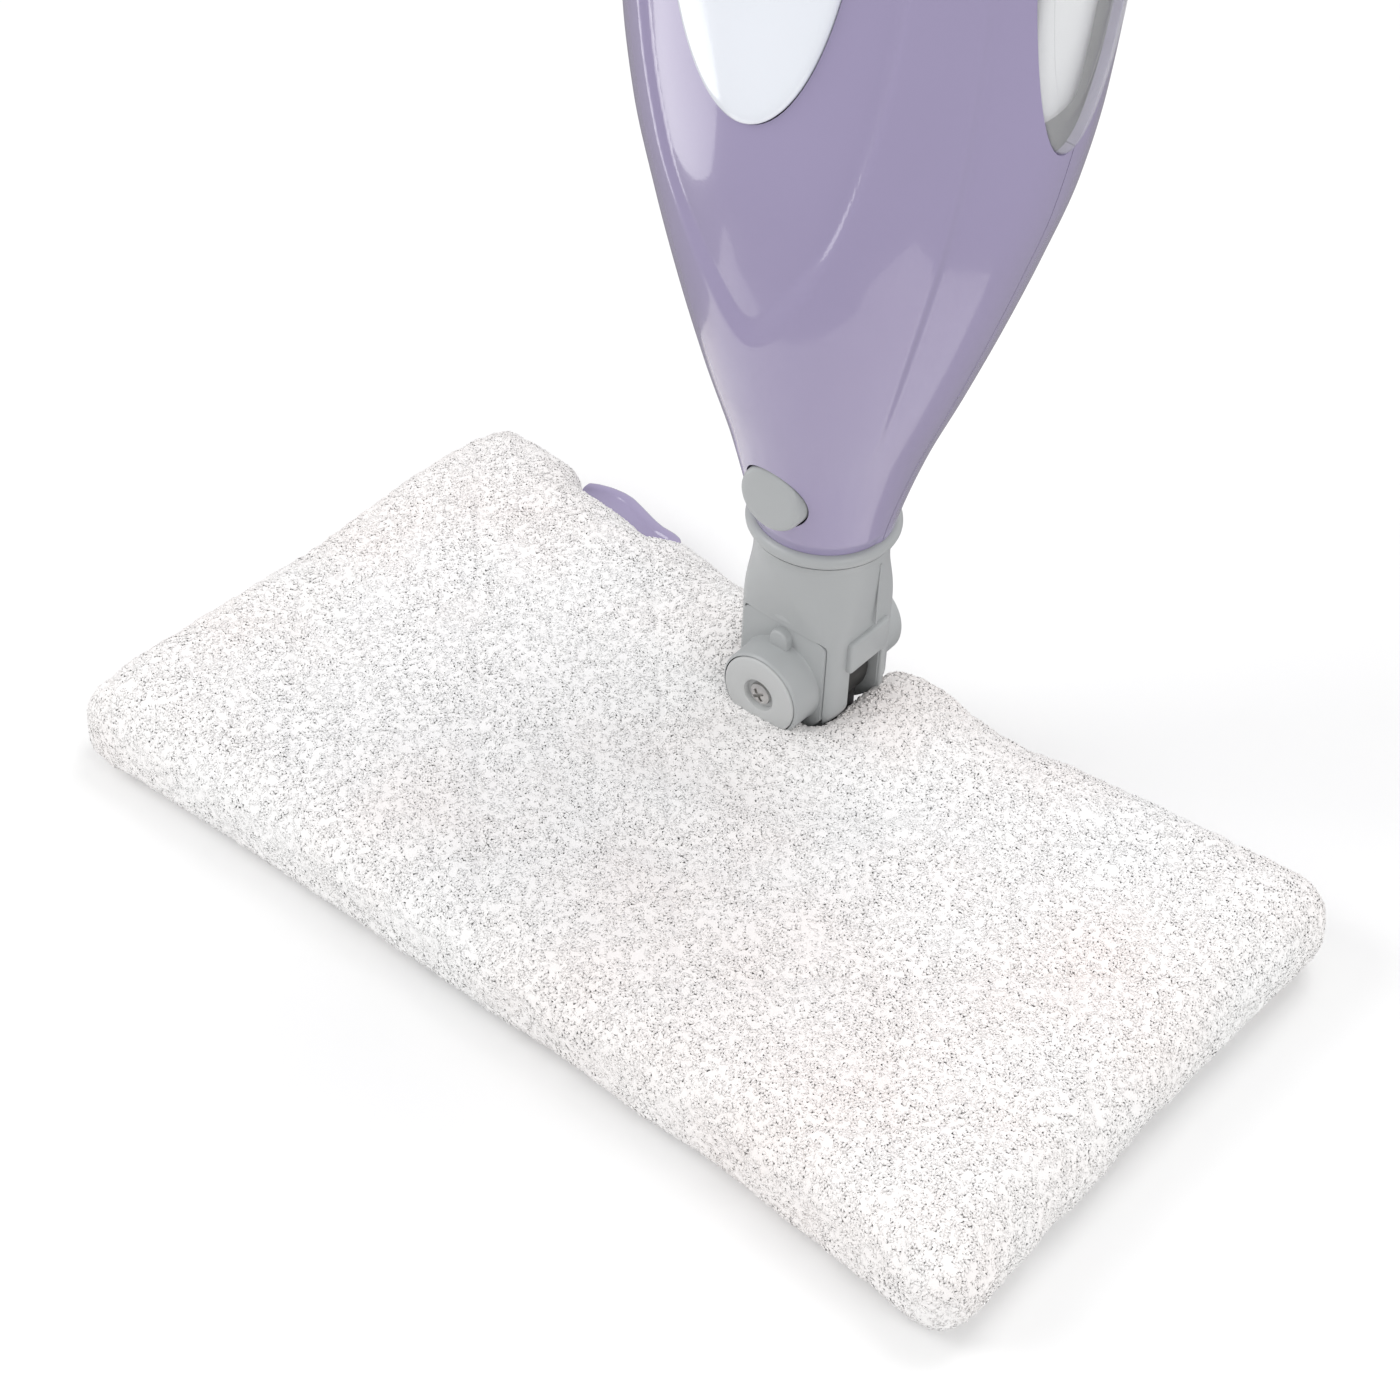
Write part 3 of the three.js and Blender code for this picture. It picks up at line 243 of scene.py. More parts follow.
outline = []
for corner_x, corner_y, start in [(1, -1, -90), (1, 1, 0), (-1, 1, 90), (-1, -1, 180)]:
    for step in range(9):
        angle = math.radians(start + step * 90 / 8)
        outline.append((corner_x * (pad_half_length - pad_corner) + pad_corner * math.cos(angle),
                        corner_y * (pad_half_depth - pad_corner) + pad_corner * math.sin(angle)))
    if start == 0:
        for x in np.linspace(1, -1, 31)[1:-1] * (pad_half_length - pad_corner):
            scooped = pad_scoop * math.exp(-((x / (pad_half_length * 0.48)) ** 2) ** 1.4)
            outline.append((x, pad_half_depth - scooped))
count = len(outline)
slab = mesh_piece(
    "mop_pad_terry",
    [(x, y, pad_lift) for x, y in outline] + [(x, y, pad_lift + pad_thickness) for x, y in outline],
    [tuple(range(count))[::-1], tuple(range(count, 2 * count))]
    + [(i, (i + 1) % count, count + (i + 1) % count, count + i) for i in range(count)])
outward(slab)
apply_modifier(slab, "BEVEL", width=pad_edge, segments=4, limit_method="ANGLE", angle_limit=math.radians(60))
boolean(slab, block("neck_slit", (-neck_opening_width, neck_y + neck_opening_front, pad_sole),
                    (neck_opening_width, 0.2, 0.1)))
boolean(slab, block("hub_room", (-25 * mm, neck_y - 24 * mm, pad_sole), (25 * mm, 0.2, 22 * mm)))
slab.data.remesh_voxel_size = pad_voxel
pick(slab)
bpy.ops.object.voxel_remesh()
before = np.array([v.co for v in slab.data.vertices])
cloth = slab.modifiers.new("cloth", "CLOTH")
cloth.settings.use_pressure = True
cloth.settings.uniform_pressure_force = 4
cloth.settings.effector_weights.gravity = 0
for number in range(1, 21):
    bpy.context.scene.frame_set(number)
bpy.ops.object.modifier_apply(modifier=cloth.name)
bpy.context.scene.frame_set(1)
after = np.array([v.co for v in slab.data.vertices])
shift = after - before
reach = np.linalg.norm(shift, axis=1, keepdims=True)
after = before + shift * np.minimum(1, pad_swell_cap / np.maximum(reach, 1e-9))
slab.data.vertices.foreach_set("co", after.ravel())
apply_modifier(slab, "SUBSURF", levels=2, render_levels=2)


def points_of(piece):
    co = np.zeros(len(piece.data.vertices) * 3)
    piece.data.vertices.foreach_get("co", co)
    return co.reshape(-1, 3)


def normals_of(piece):
    normal = np.zeros(len(piece.data.vertices) * 3, np.float32)
    piece.data.vertex_normals.foreach_get("vector", normal)
    return normal.reshape(-1, 3).astype(float)


def set_points(piece, points):
    piece.data.vertices.foreach_set("co", np.ascontiguousarray(points).ravel())
    piece.data.update()


# Sculpted after the swelling: mounds and gathers round the neck, folds, sewn diamonds and lumps.
floor_gap = 0.3 * mm
pad_points = points_of(slab)
pad_normals = normals_of(slab)
x, y, z = (pad_points[:, i] / mm for i in range(3))
from_neck = np.hypot(x, y - neck_y / mm)
bearing = np.arctan2(x, -(y - neck_y / mm))
upper_face = ramp(z, 12, 24)
rise = (6.0 * np.exp(-(((x - 29) / 15) ** 2 + ((y - 66) / 15) ** 2))
        + 4.2 * np.exp(-(((x + 29) / 15) ** 2 + ((y - 58) / 16) ** 2))
        + 3.4 * np.exp(-((from_neck - 22) / 20) ** 2)
        + 1.5 * np.exp(-((from_neck - 62) / 34) ** 2))
folds = (ramp(from_neck, 24, 34) * (1 - ramp(from_neck, 62, 100))
         * (0.9 * np.sin(from_neck / 5.4 + 1.3 * np.sin(2.2 * bearing + 0.6) + 0.8)
            * ramp(np.cos(bearing - 0.85), 0.1, 0.8)
            + 0.5 * np.sin(from_neck / 7.3 - 1.7 * bearing) * ramp(np.cos(bearing + 0.5), 0.4, 0.9)))
crown = 1.3 * np.cos(np.clip(x / 160, -1, 1) * math.pi / 2) * np.cos(np.clip(y / 89, -1, 1) * math.pi / 2)
quilt = np.zeros(len(x))
for slope, start in ((-1.08, -11), (0.93, -30)):
    across = y / slope - x + start
    offset = (across + 35.5) % 71 - 35.5
    distance = np.abs(offset) * abs(slope) / math.hypot(1, slope)
    quilt += -0.75 * np.exp(-(distance / 1.3) ** 2) - 0.5 * np.exp(-(distance / 7) ** 2)
lumps = lattice_noise(pad_points, 26 * mm, 4) * 0.9 + lattice_noise(pad_points, 11 * mm, 5) * 0.45
pad_points[:, 2] += upper_face * (rise + folds + crown + quilt * (1 - 0.6 * ramp(rise, 1, 3))) * mm
pad_points[:, :2] += pad_normals[:, :2] * (lumps * 1.3 * mm)[:, None]
pad_points[:, 2] += pad_normals[:, 2] * lumps * 0.5 * mm * upper_face
pad_points += pad_normals * (lattice_noise(pad_points, 3.2 * mm, 13) * 0.35 * mm)[:, None]
pad_points[:, 2] = np.maximum(pad_points[:, 2], floor_gap)
# Cloth drawn out at the corners, and drawn in where the tab stands out behind it.
corner_pulls = [(160, -89, 1.5, -5.0), (-160, -89, -3.0, -0.5), (-160, 89, 0.5, 2.5)]
corner_spread, tab_dip = 48, 5.5
for corner_x, corner_y, out_x, out_y in corner_pulls:
    near_corner = np.exp(-((x - corner_x) ** 2 + (y - corner_y) ** 2) / corner_spread ** 2)
    pad_points[:, 0] += near_corner * out_x * mm
    pad_points[:, 1] += near_corner * out_y * mm
pad_points[:, 1] -= tab_dip * mm * ramp(x, -124, -112) * (1 - ramp(x, -82, -70)) * ramp(y, 62, 84)
# The gathered edge of the opening lies against the neck's round lower end.
swing_z, gather_radius, gather_depth, opening_floor = 46 * mm, 18.6 * mm, 14 * mm, 9 * mm
below_pivot = np.clip(swing_z - pad_points[:, 2], 0, gather_depth)
beside = np.sqrt(gather_radius ** 2 - below_pivot ** 2)
behind_front = pad_points[:, 1] > neck_y + neck_opening_front + 0.4 * mm
inside = behind_front & (np.abs(pad_points[:, 0]) < beside) & (pad_points[:, 2] > opening_floor)
pad_points[inside, 0] = np.sign(pad_points[inside, 0]) * beside[inside]
set_points(slab, pad_points)

# The pile: tens of thousands of short looped tufts, each a closed sliver leaning its own way.
tuft_count, tuft_wide, tuft_long, tuft_high = 80000, 0.60 * mm, 0.9 * mm, 0.15 * mm
corners = np.array([polygon.vertices[:] for polygon in slab.data.polygons if len(polygon.vertices) == 4])
quads = pad_points[corners]
facing = np.cross(quads[:, 2] - quads[:, 0], quads[:, 3] - quads[:, 1])
quad_area = np.linalg.norm(facing, axis=1)
facing /= np.maximum(quad_area, 1e-12)[:, None]
middle = quads.mean(axis=1)
bare = (middle[:, 2] < 2.5 * mm) & (facing[:, 2] < -0.3)
in_opening = (np.abs(middle[:, 0]) < 21 * mm) & (middle[:, 1] > neck_y - 16 * mm) & (facing[:, 2] < 0.55)
weight = quad_area * np.where(bare, 0.06, 1) * np.where(in_opening, 0, 1)
picker = np.random.default_rng(21)
chosen = picker.choice(len(quads), tuft_count, p=weight / weight.sum())
u, v = picker.uniform(0, 1, (2, tuft_count, 1))
root = ((quads[chosen, 0] * (1 - u) + quads[chosen, 1] * u) * (1 - v)
        + (quads[chosen, 3] * (1 - u) + quads[chosen, 2] * u) * v)
away = facing[chosen]
drift_size = 7 * mm
lean = np.stack([lattice_noise(root, drift_size, seed) for seed in (31, 32, 33)], 1) * 1.3
lean += picker.normal(0, 0.75, (tuft_count, 3)) + (0, 0, -0.25)
lean -= away * np.sum(lean * away, axis=1, keepdims=True)
lean /= np.maximum(np.linalg.norm(lean, axis=1, keepdims=True), 1e-9)
beside_tuft = np.cross(away, lean)
size = picker.uniform(0.7, 1.3, (tuft_count, 1))
long, wide = tuft_long * size, tuft_wide * size
high = tuft_high * size * picker.uniform(0.6, 1.35, (tuft_count, 1))
high = high * np.where(root[:, 2:] < 4 * mm, 0.25, 1)
foot = root - away * 0.35 * mm
knee = root + away * high + lean * long * 0.35
tip = root + away * high * 0.75 + lean * long * 1.35
rings_of_tuft = [
    foot + beside_tuft * wide, foot - beside_tuft * wide, foot + lean * wide * 1.2,
    knee + beside_tuft * wide - away * wide * 0.3, knee - beside_tuft * wide - away * wide * 0.3,
    knee + away * wide * 0.28,
    tip + beside_tuft * wide * 0.6 - away * wide * 0.4, tip - beside_tuft * wide * 0.6 - away * wide * 0.4,
    tip + lean * wide * 0.3]
tuft_points = np.stack(rings_of_tuft, 1).reshape(-1, 3)
tuft_points[:, 2] = np.maximum(tuft_points[:, 2], floor_gap)
one_tuft = [(0, 1, 2), (8, 7, 6)]
for start in (0, 3):
    for a, b in ((0, 2), (2, 1), (1, 0)):
        one_tuft += [(start + a, start + b, start + b + 3), (start + a, start + b + 3, start + a + 3)]
tuft_faces = (np.arange(tuft_count)[:, None, None] * 9 + np.array(one_tuft)[None]).reshape(-1, 3)
tufts = mesh_piece("tufts", tuft_points, tuft_faces.tolist())
outward(tufts)
# Each tuft point gets a depth in the pile, low at the root and high at the tip, and the base cloth gets a
# middling one. The terry's colour darkens with this depth as painted shade deep in the pile.
own = picker.uniform(-0.2, 0.2, (tuft_count, 1))
tuft_depth = np.clip(np.array([0.3, 0.3, 0.3, 0.6, 0.6, 0.8, 0.6, 0.6, 0.7])[None] + own, 0, 1)
pile_shade_layer = slab.data.attributes.new("pile", "FLOAT", "POINT")
pile_shade_layer.data.foreach_set("value", np.full(len(slab.data.vertices), 0.4, np.float32))
pile_shade_layer = tufts.data.attributes.new("pile", "FLOAT", "POINT")
pile_shade_layer.data.foreach_set("value", tuft_depth.ravel().astype(np.float32))
join(slab, tufts)
for polygon in slab.data.polygons:
    polygon.use_smooth = True

terry = bpy.data.materials.new("terry")
terry.use_nodes = True


def node(material, kind, **inputs):
    made = material.node_tree.nodes.new(kind)
    for key, value in inputs.items():
        made.inputs[key.replace("_", " ")].default_value = value
    return made


def link(material, source, target):
    material.node_tree.links.new(source, target)


def ramp_colours(material, factor, stops):
    made = material.node_tree.nodes.new("ShaderNodeValToRGB")
    made.color_ramp.elements[0].position, made.color_ramp.elements[0].color = stops[0]
    made.color_ramp.elements[1].position, made.color_ramp.elements[1].color = stops[-1]
    for position, colour in stops[1:-1]:
        made.color_ramp.elements.new(position).color = colour
    link(material, factor, made.inputs["Fac"])
    return made.outputs["Color"]


shader = terry.node_tree.nodes["Principled BSDF"]
shader.inputs["Roughness"].default_value = 1.0
shader.inputs["Specular IOR Level"].default_value = 0.1
shader.inputs["Sheen Weight"].default_value = 0.25
shader.inputs["Sheen Roughness"].default_value = 0.5
place = terry.node_tree.nodes.new("ShaderNodeTexCoord")
pile_depth = terry.node_tree.nodes.new("ShaderNodeAttribute")
pile_depth.attribute_name = "pile"
# Painted shade: the base colour darkens towards the roots of the loops and the cloth between them, where the
# pile shades itself. The warm blotches multiplied over it are the cloth's own tint.
painted_crevice_shade = ramp_colours(terry, pile_depth.outputs["Fac"], [
    (0.0, (0.90, 0.885, 0.875, 1)), (0.3, (0.95, 0.94, 0.935, 1)), (0.7, (0.98, 0.975, 0.97, 1))])
stain = node(terry, "ShaderNodeTexNoise", Scale=14.0, Detail=3.0)
link(terry, place.outputs["Object"], stain.inputs["Vector"])
warm = ramp_colours(terry, stain.outputs["Fac"], [(0.42, (1, 1, 1, 1)), (0.75, (1.0, 0.955, 0.94, 1))])
crevice_shade_and_stain = terry.node_tree.nodes.new("ShaderNodeMix")
crevice_shade_and_stain.data_type, crevice_shade_and_stain.blend_type = "RGBA", "MULTIPLY"
crevice_shade_and_stain.inputs["Factor"].default_value = 1
link(terry, painted_crevice_shade, crevice_shade_and_stain.inputs["A"])
link(terry, warm, crevice_shade_and_stain.inputs["B"])
link(terry, crevice_shade_and_stain.outputs["Result"], shader.inputs["Base Color"])
fibre = node(terry, "ShaderNodeTexNoise", Scale=1500.0, Detail=4.0, Roughness=0.7)
link(terry, place.outputs["Object"], fibre.inputs["Vector"])
fibre_bump = node(terry, "ShaderNodeBump", Strength=0.5, Distance=0.0004)
link(terry, fibre.outputs["Fac"], fibre_bump.inputs["Height"])
link(terry, fibre_bump.outputs["Normal"], shader.inputs["Normal"])
slab.data.materials.append(terry)
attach(slab, "head")
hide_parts("mop_pad")


# ---- head under the pad ----
# A flat steam box in two lilac mouldings held by four screws, with the steam plate and gasket
# inside, a brass elbow from the hose and two clamped bearings for the neck's trunnions.
def moulded(name, colour, roughness, coat=0.0, grain=900.0, grain_depth=0.00003, orange_peel=0.0):
    """Moulded plastic: colour with a slight drift, fine grain, and long soft waves under the gloss."""
    material = bpy.data.materials.new(name)
    material.use_nodes = True
    shader = material.node_tree.nodes["Principled BSDF"]
    place = material.node_tree.nodes.new("ShaderNodeTexCoord")
    drift = node(material, "ShaderNodeTexNoise", Scale=9.0, Detail=3.0)
    link(material, place.outputs["Object"], drift.inputs["Vector"])
    darker = tuple(c * 0.955 for c in colour) + (1,)
    lighter = tuple(min(1, c * 1.03) for c in colour) + (1,)
    tone = ramp_colours(material, drift.outputs["Fac"], [(0.3, darker), (0.7, lighter)])
    link(material, tone, shader.inputs["Base Color"])
    wear = node(material, "ShaderNodeTexNoise", Scale=60.0, Detail=5.0, Roughness=0.65)
    link(material, place.outputs["Object"], wear.inputs["Vector"])
    spread = node(material, "ShaderNodeMapRange")
    spread.inputs["To Min"].default_value = roughness * 0.88
    spread.inputs["To Max"].default_value = min(1, roughness * 1.14)
    link(material, wear.outputs["Fac"], spread.inputs["Value"])
    link(material, spread.outputs["Result"], shader.inputs["Roughness"])
    shader.inputs["Coat Weight"].default_value = coat
    shader.inputs["Coat Roughness"].default_value = 0.04
    texture = node(material, "ShaderNodeTexNoise", Scale=grain, Detail=3.0, Roughness=0.6)
    link(material, place.outputs["Object"], texture.inputs["Vector"])
    bump = node(material, "ShaderNodeBump", Strength=0.35, Distance=grain_depth)
    link(material, texture.outputs["Fac"], bump.inputs["Height"])
    if orange_peel:
        waves = node(material, "ShaderNodeTexNoise", Scale=70.0, Detail=1.0)
        link(material, place.outputs["Object"], waves.inputs["Vector"])
        soft = node(material, "ShaderNodeBump", Strength=0.3, Distance=orange_peel)
        link(material, waves.outputs["Fac"], soft.inputs["Height"])
        link(material, bump.outputs["Normal"], soft.inputs["Normal"])
        bump = soft
        link(material, soft.outputs["Normal"], shader.inputs["Coat Normal"])
    link(material, bump.outputs["Normal"], shader.inputs["Normal"])
    return material


def turned_metal(name, colour, roughness, stretch, scale=260.0):
    """Metal with fine tool marks or brushing, drawn out along the axis where stretch is small."""
    material = bpy.data.materials.new(name)
    material.use_nodes = True
    shader = material.node_tree.nodes["Principled BSDF"]
    shader.inputs["Metallic"].default_value = 1.0
    place = material.node_tree.nodes.new("ShaderNodeTexCoord")
    along = node(material, "ShaderNodeMapping")
    along.inputs["Scale"].default_value = stretch
    link(material, place.outputs["Object"], along.inputs["Vector"])
    marks = node(material, "ShaderNodeTexNoise", Scale=scale, Detail=5.0, Roughness=0.7)
    link(material, along.outputs["Vector"], marks.inputs["Vector"])
    tone = ramp_colours(material, marks.outputs["Fac"], [
        (0.3, tuple(c * 0.8 for c in colour) + (1,)), (0.7, tuple(min(1, c * 1.1) for c in colour) + (1,))])
    link(material, tone, shader.inputs["Base Color"])
    spread = node(material, "ShaderNodeMapRange")
    spread.inputs["To Min"].default_value = roughness * 0.7
    spread.inputs["To Max"].default_value = roughness * 1.3
    link(material, marks.outputs["Fac"], spread.inputs["Value"])
    link(material, spread.outputs["Result"], shader.inputs["Roughness"])
    bump = node(material, "ShaderNodeBump", Strength=0.25, Distance=0.00004)
    link(material, marks.outputs["Fac"], bump.inputs["Height"])
    link(material, bump.outputs["Normal"], shader.inputs["Normal"])
    return material


lilac = moulded("lilac_plastic", (0.345, 0.302, 0.472), 0.22, coat=0.9, orange_peel=0.00012)
steel = turned_metal("steel", (0.62, 0.61, 0.60), 0.3, (1, 1, 1))
silicone = moulded("silicone", (0.66, 0.63, 0.57), 0.6)
brass = turned_metal("brass", (0.52, 0.36, 0.14), 0.3, (1, 1, 0.1))
pale_grey = moulded("pale_grey_plastic", (0.54, 0.55, 0.55), 0.42)
black = moulded("black_plastic", (0.030, 0.030, 0.029), 0.42, grain=700.0, grain_depth=0.00006)


def dress(names, material):
    for name in names:
        cad = nodes[name]
        cad.data.materials.clear()
        cad.data.materials.append(material)


dress(["head_base", "head_cover"], lilac)
dress(["steam_distributor"], pale_grey)
dress(["head_gasket"], silicone)
dress(["steam_inlet_elbow"], brass)
dress(["head_screw_1", "head_screw_2", "head_screw_3", "head_screw_4"], steel)
dress(["trunnion_cap_left", "trunnion_cap_right"], black)


# ---- pad tab ----
# A finger tab moulded in one curved sweep of lilac plastic, with a raised lip along its outer
# edge. It clips under the head's rear edge and holds the pad's tail.
tab_low, tab_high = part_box("pad_release_tab")
tab_steps = 40
tab_edge = [(0, 86.8), (3, 88.6), (7, 90.0), (11.5, 90.7), (15.5, 90.5), (21, 88.9), (27, 87.0), (31, 86.1),
            (36, 86.0), (39, 85.3), (41.5, 82.5), (43, 79.6)]
tab_length, tab_past_cloth = 43 * mm, 4.2 * mm
tab_top, tab_lip_width = tab_high.z + 0.6 * mm, 4.2 * mm


def grid_piece(name, rows, wrap=True, ends=True):
    """A skin over rows of points; wrap closes each row and ends puts a cap on the first and the last."""
    rows = np.asarray(rows, float)
    high, wide = rows.shape[:2]
    faces = []
    for i in range(high - 1):
        for j in range(wide if wrap else wide - 1):
            k = (j + 1) % wide
            faces.append((i * wide + j, i * wide + k, (i + 1) * wide + k, (i + 1) * wide + j))
    if ends:
        faces += [tuple(range(wide))[::-1], tuple((high - 1) * wide + j for j in range(wide))]
    return mesh_piece(name, rows.reshape(-1, 3), faces)


def soften(piece, degrees=35):
    pick(piece)
    bpy.ops.object.shade_smooth_by_angle(angle=math.radians(degrees))


def fitted(piece, material, body, slot_name, *replaced):
    piece.data.materials.clear()
    piece.data.materials.append(material)
    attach(piece, body)
    if replaced:
        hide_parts(*replaced)
    return piece


tab_rows = []
tab_root = tab_low.y + 0.5 * mm
for step in range(tab_steps + 1):
    share = step / tab_steps
    reach = np.interp(share * tab_length / mm, *zip(*tab_edge)) * mm + tab_past_cloth
    x_at = tab_low.x + share * tab_length
    section = [(tab_root, -3), (tab_root, -1), (reach - tab_lip_width, -1.4),
               (reach - tab_lip_width + 0.6 * mm, 0.2),
               (reach - 1.0 * mm, 0.4), (reach, -0.4), (reach, -5.4), (reach - 0.8 * mm, -6),
               (reach - 3 * mm, -6), (reach - 3.4 * mm, -3.6)]
    tab_rows.append([(x_at, y_at, tab_top + drop * mm) for y_at, drop in section])
tab = grid_piece("pad_tab", tab_rows)
outward(tab)
apply_modifier(tab, "SUBSURF", levels=2, render_levels=2)
soften(tab, 50)
fitted(tab, lilac, "head", "lilac_plastic", "pad_release_tab")


# ---- yoke ----
# The dark glass-filled casting between head and neck: trunnions across, a round eye for the
# swing pin, and a rounded column between them that the steam hose runs through.
tilt_z = 24 * mm
eye_radius, eye_half_depth = 15.5 * mm, 5.9 * mm


def spun(name, profile, centre, axis="Z", steps=64):
    """A ring or knob turned about an axis through the centre, from (radius, place along the axis) pairs."""
    rows = []
    for angle in np.linspace(0, 2 * math.pi, steps, endpoint=False):
        c, s = math.cos(angle), math.sin(angle)
        row = []
        for radius, along in profile:
            local = {"Z": (radius * c, radius * s, along), "Y": (radius * c, along, radius * s),
                     "X": (along, radius * c, radius * s)}[axis]
            row.append([a + b for a, b in zip(centre, local)])
        rows.append(row)
    wide = len(profile)
    closed = profile[0] == profile[-1]
    points = [p for row in rows for p in row]
    faces = []
    for i in range(steps):
        k = (i + 1) % steps
        for j in range(wide - 1):
            faces.append((i * wide + j, i * wide + j + 1, k * wide + j + 1, k * wide + j))
    if not closed:
        for end in (0, wide - 1):
            if profile[end][0] > 1e-7:
                faces.append(tuple(i * wide + end for i in range(steps)))
    piece = mesh_piece(name, points, faces)
    outward(piece)
    pick(piece)
    bpy.ops.object.mode_set(mode="EDIT")
    bpy.ops.mesh.select_all(action="SELECT")
    bpy.ops.mesh.dissolve_degenerate(threshold=1e-7)
    bpy.ops.mesh.normals_make_consistent(inside=False)
    bpy.ops.object.mode_set(mode="OBJECT")
    return piece


pivot = (0, neck_y, swing_z)
hub = (0, neck_y, tilt_z)
edge = 0.8 * mm
eye = spun("neck_yoke", [
    (0, -eye_half_depth), (eye_radius - edge, -eye_half_depth), (eye_radius, -eye_half_depth + edge),
    (eye_radius, eye_half_depth - edge), (eye_radius - edge, eye_half_depth), (0, eye_half_depth)],
    pivot, "Y")
column = spun("yoke_column", [
    (0, -22 * mm), (11.8 * mm, -22 * mm), (12.3 * mm, -21.4 * mm), (12.3 * mm, -8.5 * mm),
    (14.5 * mm, -7.3 * mm), (14.5 * mm, 0), (0, 0)], pivot, "Z", 64)
for vertex in column.data.vertices:
    vertex.co.y = neck_y + (vertex.co.y - neck_y) * 0.38
hub_bar = spun("yoke_hub", [
    (0, -13.4 * mm), (6.4 * mm, -13.4 * mm), (7 * mm, -12.8 * mm), (7 * mm, 12.8 * mm), (6.4 * mm, 13.4 * mm),
    (0, 13.4 * mm)], hub, "X", 48)
trunnion = spun("yoke_trunnion", [
    (0, -21.9 * mm), (3.5 * mm, -21.9 * mm), (3.95 * mm, -21.4 * mm), (3.95 * mm, 21.4 * mm),
    (3.5 * mm, 21.9 * mm), (0, 21.9 * mm)], hub, "X", 32)
stub = spun("yoke_stub", [
    (2.3 * mm, -22.4 * mm), (8.5 * mm, -22.4 * mm), (8.95 * mm, -21.9 * mm), (8.95 * mm, 21.9 * mm),
    (8.5 * mm, 22.4 * mm), (2.3 * mm, 22.4 * mm), (2.3 * mm, -22.4 * mm)], pivot, "Y", 48)
yoke_cheek = block("yoke_cheek", (-12.4 * mm, neck_y - 5 * mm, tilt_z - 2 * mm),
                   (12.4 * mm, neck_y + 5 * mm, swing_z - 6 * mm), 1.2 * mm)
join(eye, column, hub_bar, trunnion, stub, yoke_cheek)
soften(eye)
fitted(eye, black, "yoke", "black_plastic", "yoke")
dress(["steam_hose"], silicone)


# ---- neck ----
# The grey neck moulding: a round tube with a rolled flange that the body drops into, drawn in
# below to a flat-sided fork with a slot each side for the yoke. Its inner sleeve carries the body.
tube_radius, flange_radius = 19 * mm, 21.75 * mm
fork_half_x, fork_half_y, fork_power = 17.6 * mm, 14.9 * mm, 6.5
fork_start, tube_start, fork_end_radius = 61 * mm, 89 * mm, 18.5 * mm
slot_half, lintel_z, slot_ceiling = 6.6 * mm, 54.5 * mm, 62.5 * mm
cover_half, cover_top, cover_groove = 14.4 * mm, 65.5 * mm, 0.35 * mm

grey = moulded("grey_plastic", (0.425, 0.44, 0.445), 0.36, grain=1100.0, grain_depth=0.00004)
neck_rows = []
neck_levels = np.concatenate([np.linspace(swing_z - fork_end_radius, swing_z, 15),
                              np.linspace(swing_z, 92 * mm, 50)[1:]])
angles = np.linspace(0, 2 * math.pi, 128, endpoint=False)
for level in neck_levels:
    round_share = float(ramp(level, fork_start - 2 * mm, tube_start))
    half_x = fork_half_x + (tube_radius - fork_half_x) * round_share
    half_y = fork_half_y + (tube_radius - fork_half_y) * round_share
    power = 2 + (fork_power - 2) * (1 - round_share) ** 1.6
    if level < swing_z:
        half_x = max(2 * mm, min(half_x, math.sqrt(max(0, fork_end_radius ** 2 - (swing_z - level) ** 2))))
    c, s = np.cos(angles), np.sin(angles)
    radius = (np.abs(c) ** power + np.abs(s) ** power) ** (-1 / power)
    neck_rows.append(np.stack([half_x * radius * c, neck_y + half_y * radius * s,
                               np.full(len(angles), level)], 1))
neck = grid_piece("neck_body", neck_rows)
outward(neck)
hood = block("neck_hood", (tube_radius - 6 * mm, neck_y - 8.6 * mm, lintel_z - 0.5 * mm),
             (tube_radius + 0.35 * mm, neck_y + 8.6 * mm, 64.5 * mm), 0.9 * mm)
hood_far = block("neck_hood_far", (-tube_radius - 0.35 * mm, neck_y - 8.6 * mm, lintel_z - 0.5 * mm),
                 (-tube_radius + 6 * mm, neck_y + 8.6 * mm, 64.5 * mm), 0.9 * mm)
strip = block("neck_strip", (tube_radius - 5 * mm, neck_y + 7.0 * mm, 32 * mm),
              (tube_radius - 0.55 * mm, neck_y + 9.2 * mm, 64 * mm), 0.5 * mm)
for rib in (hood, hood_far, strip):
    boolean(neck, rib, "UNION")
boolean(neck, spun("bore", [(0, 0), (16 * mm, 0), (16 * mm, 60 * mm), (0, 60 * mm)], (0, neck_y, 68 * mm),
                   "Z", 64))
boolean(neck, block("slot_across", (-40 * mm, neck_y - slot_half, 0),
                    (40 * mm, neck_y + slot_half, lintel_z), 1.2 * mm))
boolean(neck, block("slot_inner", (-15 * mm, neck_y - slot_half + 0.01 * mm, 10 * mm),
                    (15 * mm, neck_y + slot_half - 0.01 * mm, slot_ceiling)))
boolean(neck, spun("pin_bore", [(0, -30 * mm), (9.4 * mm, -30 * mm), (9.4 * mm, 30 * mm), (0, 30 * mm)],
                   pivot, "Y", 48))
for side in (-1, 1):
    low_y, high_y = sorted((neck_y + side * 12.4 * mm, neck_y + side * 30 * mm))
    boolean(neck, block("cover_seat", (-cover_half - cover_groove, low_y, 0),
                        (cover_half + cover_groove, high_y, cover_top + cover_groove), 2.2 * mm, 4))
soften(neck, 38)
fitted(neck, grey, "wand", "grey_plastic", "neck_tube")

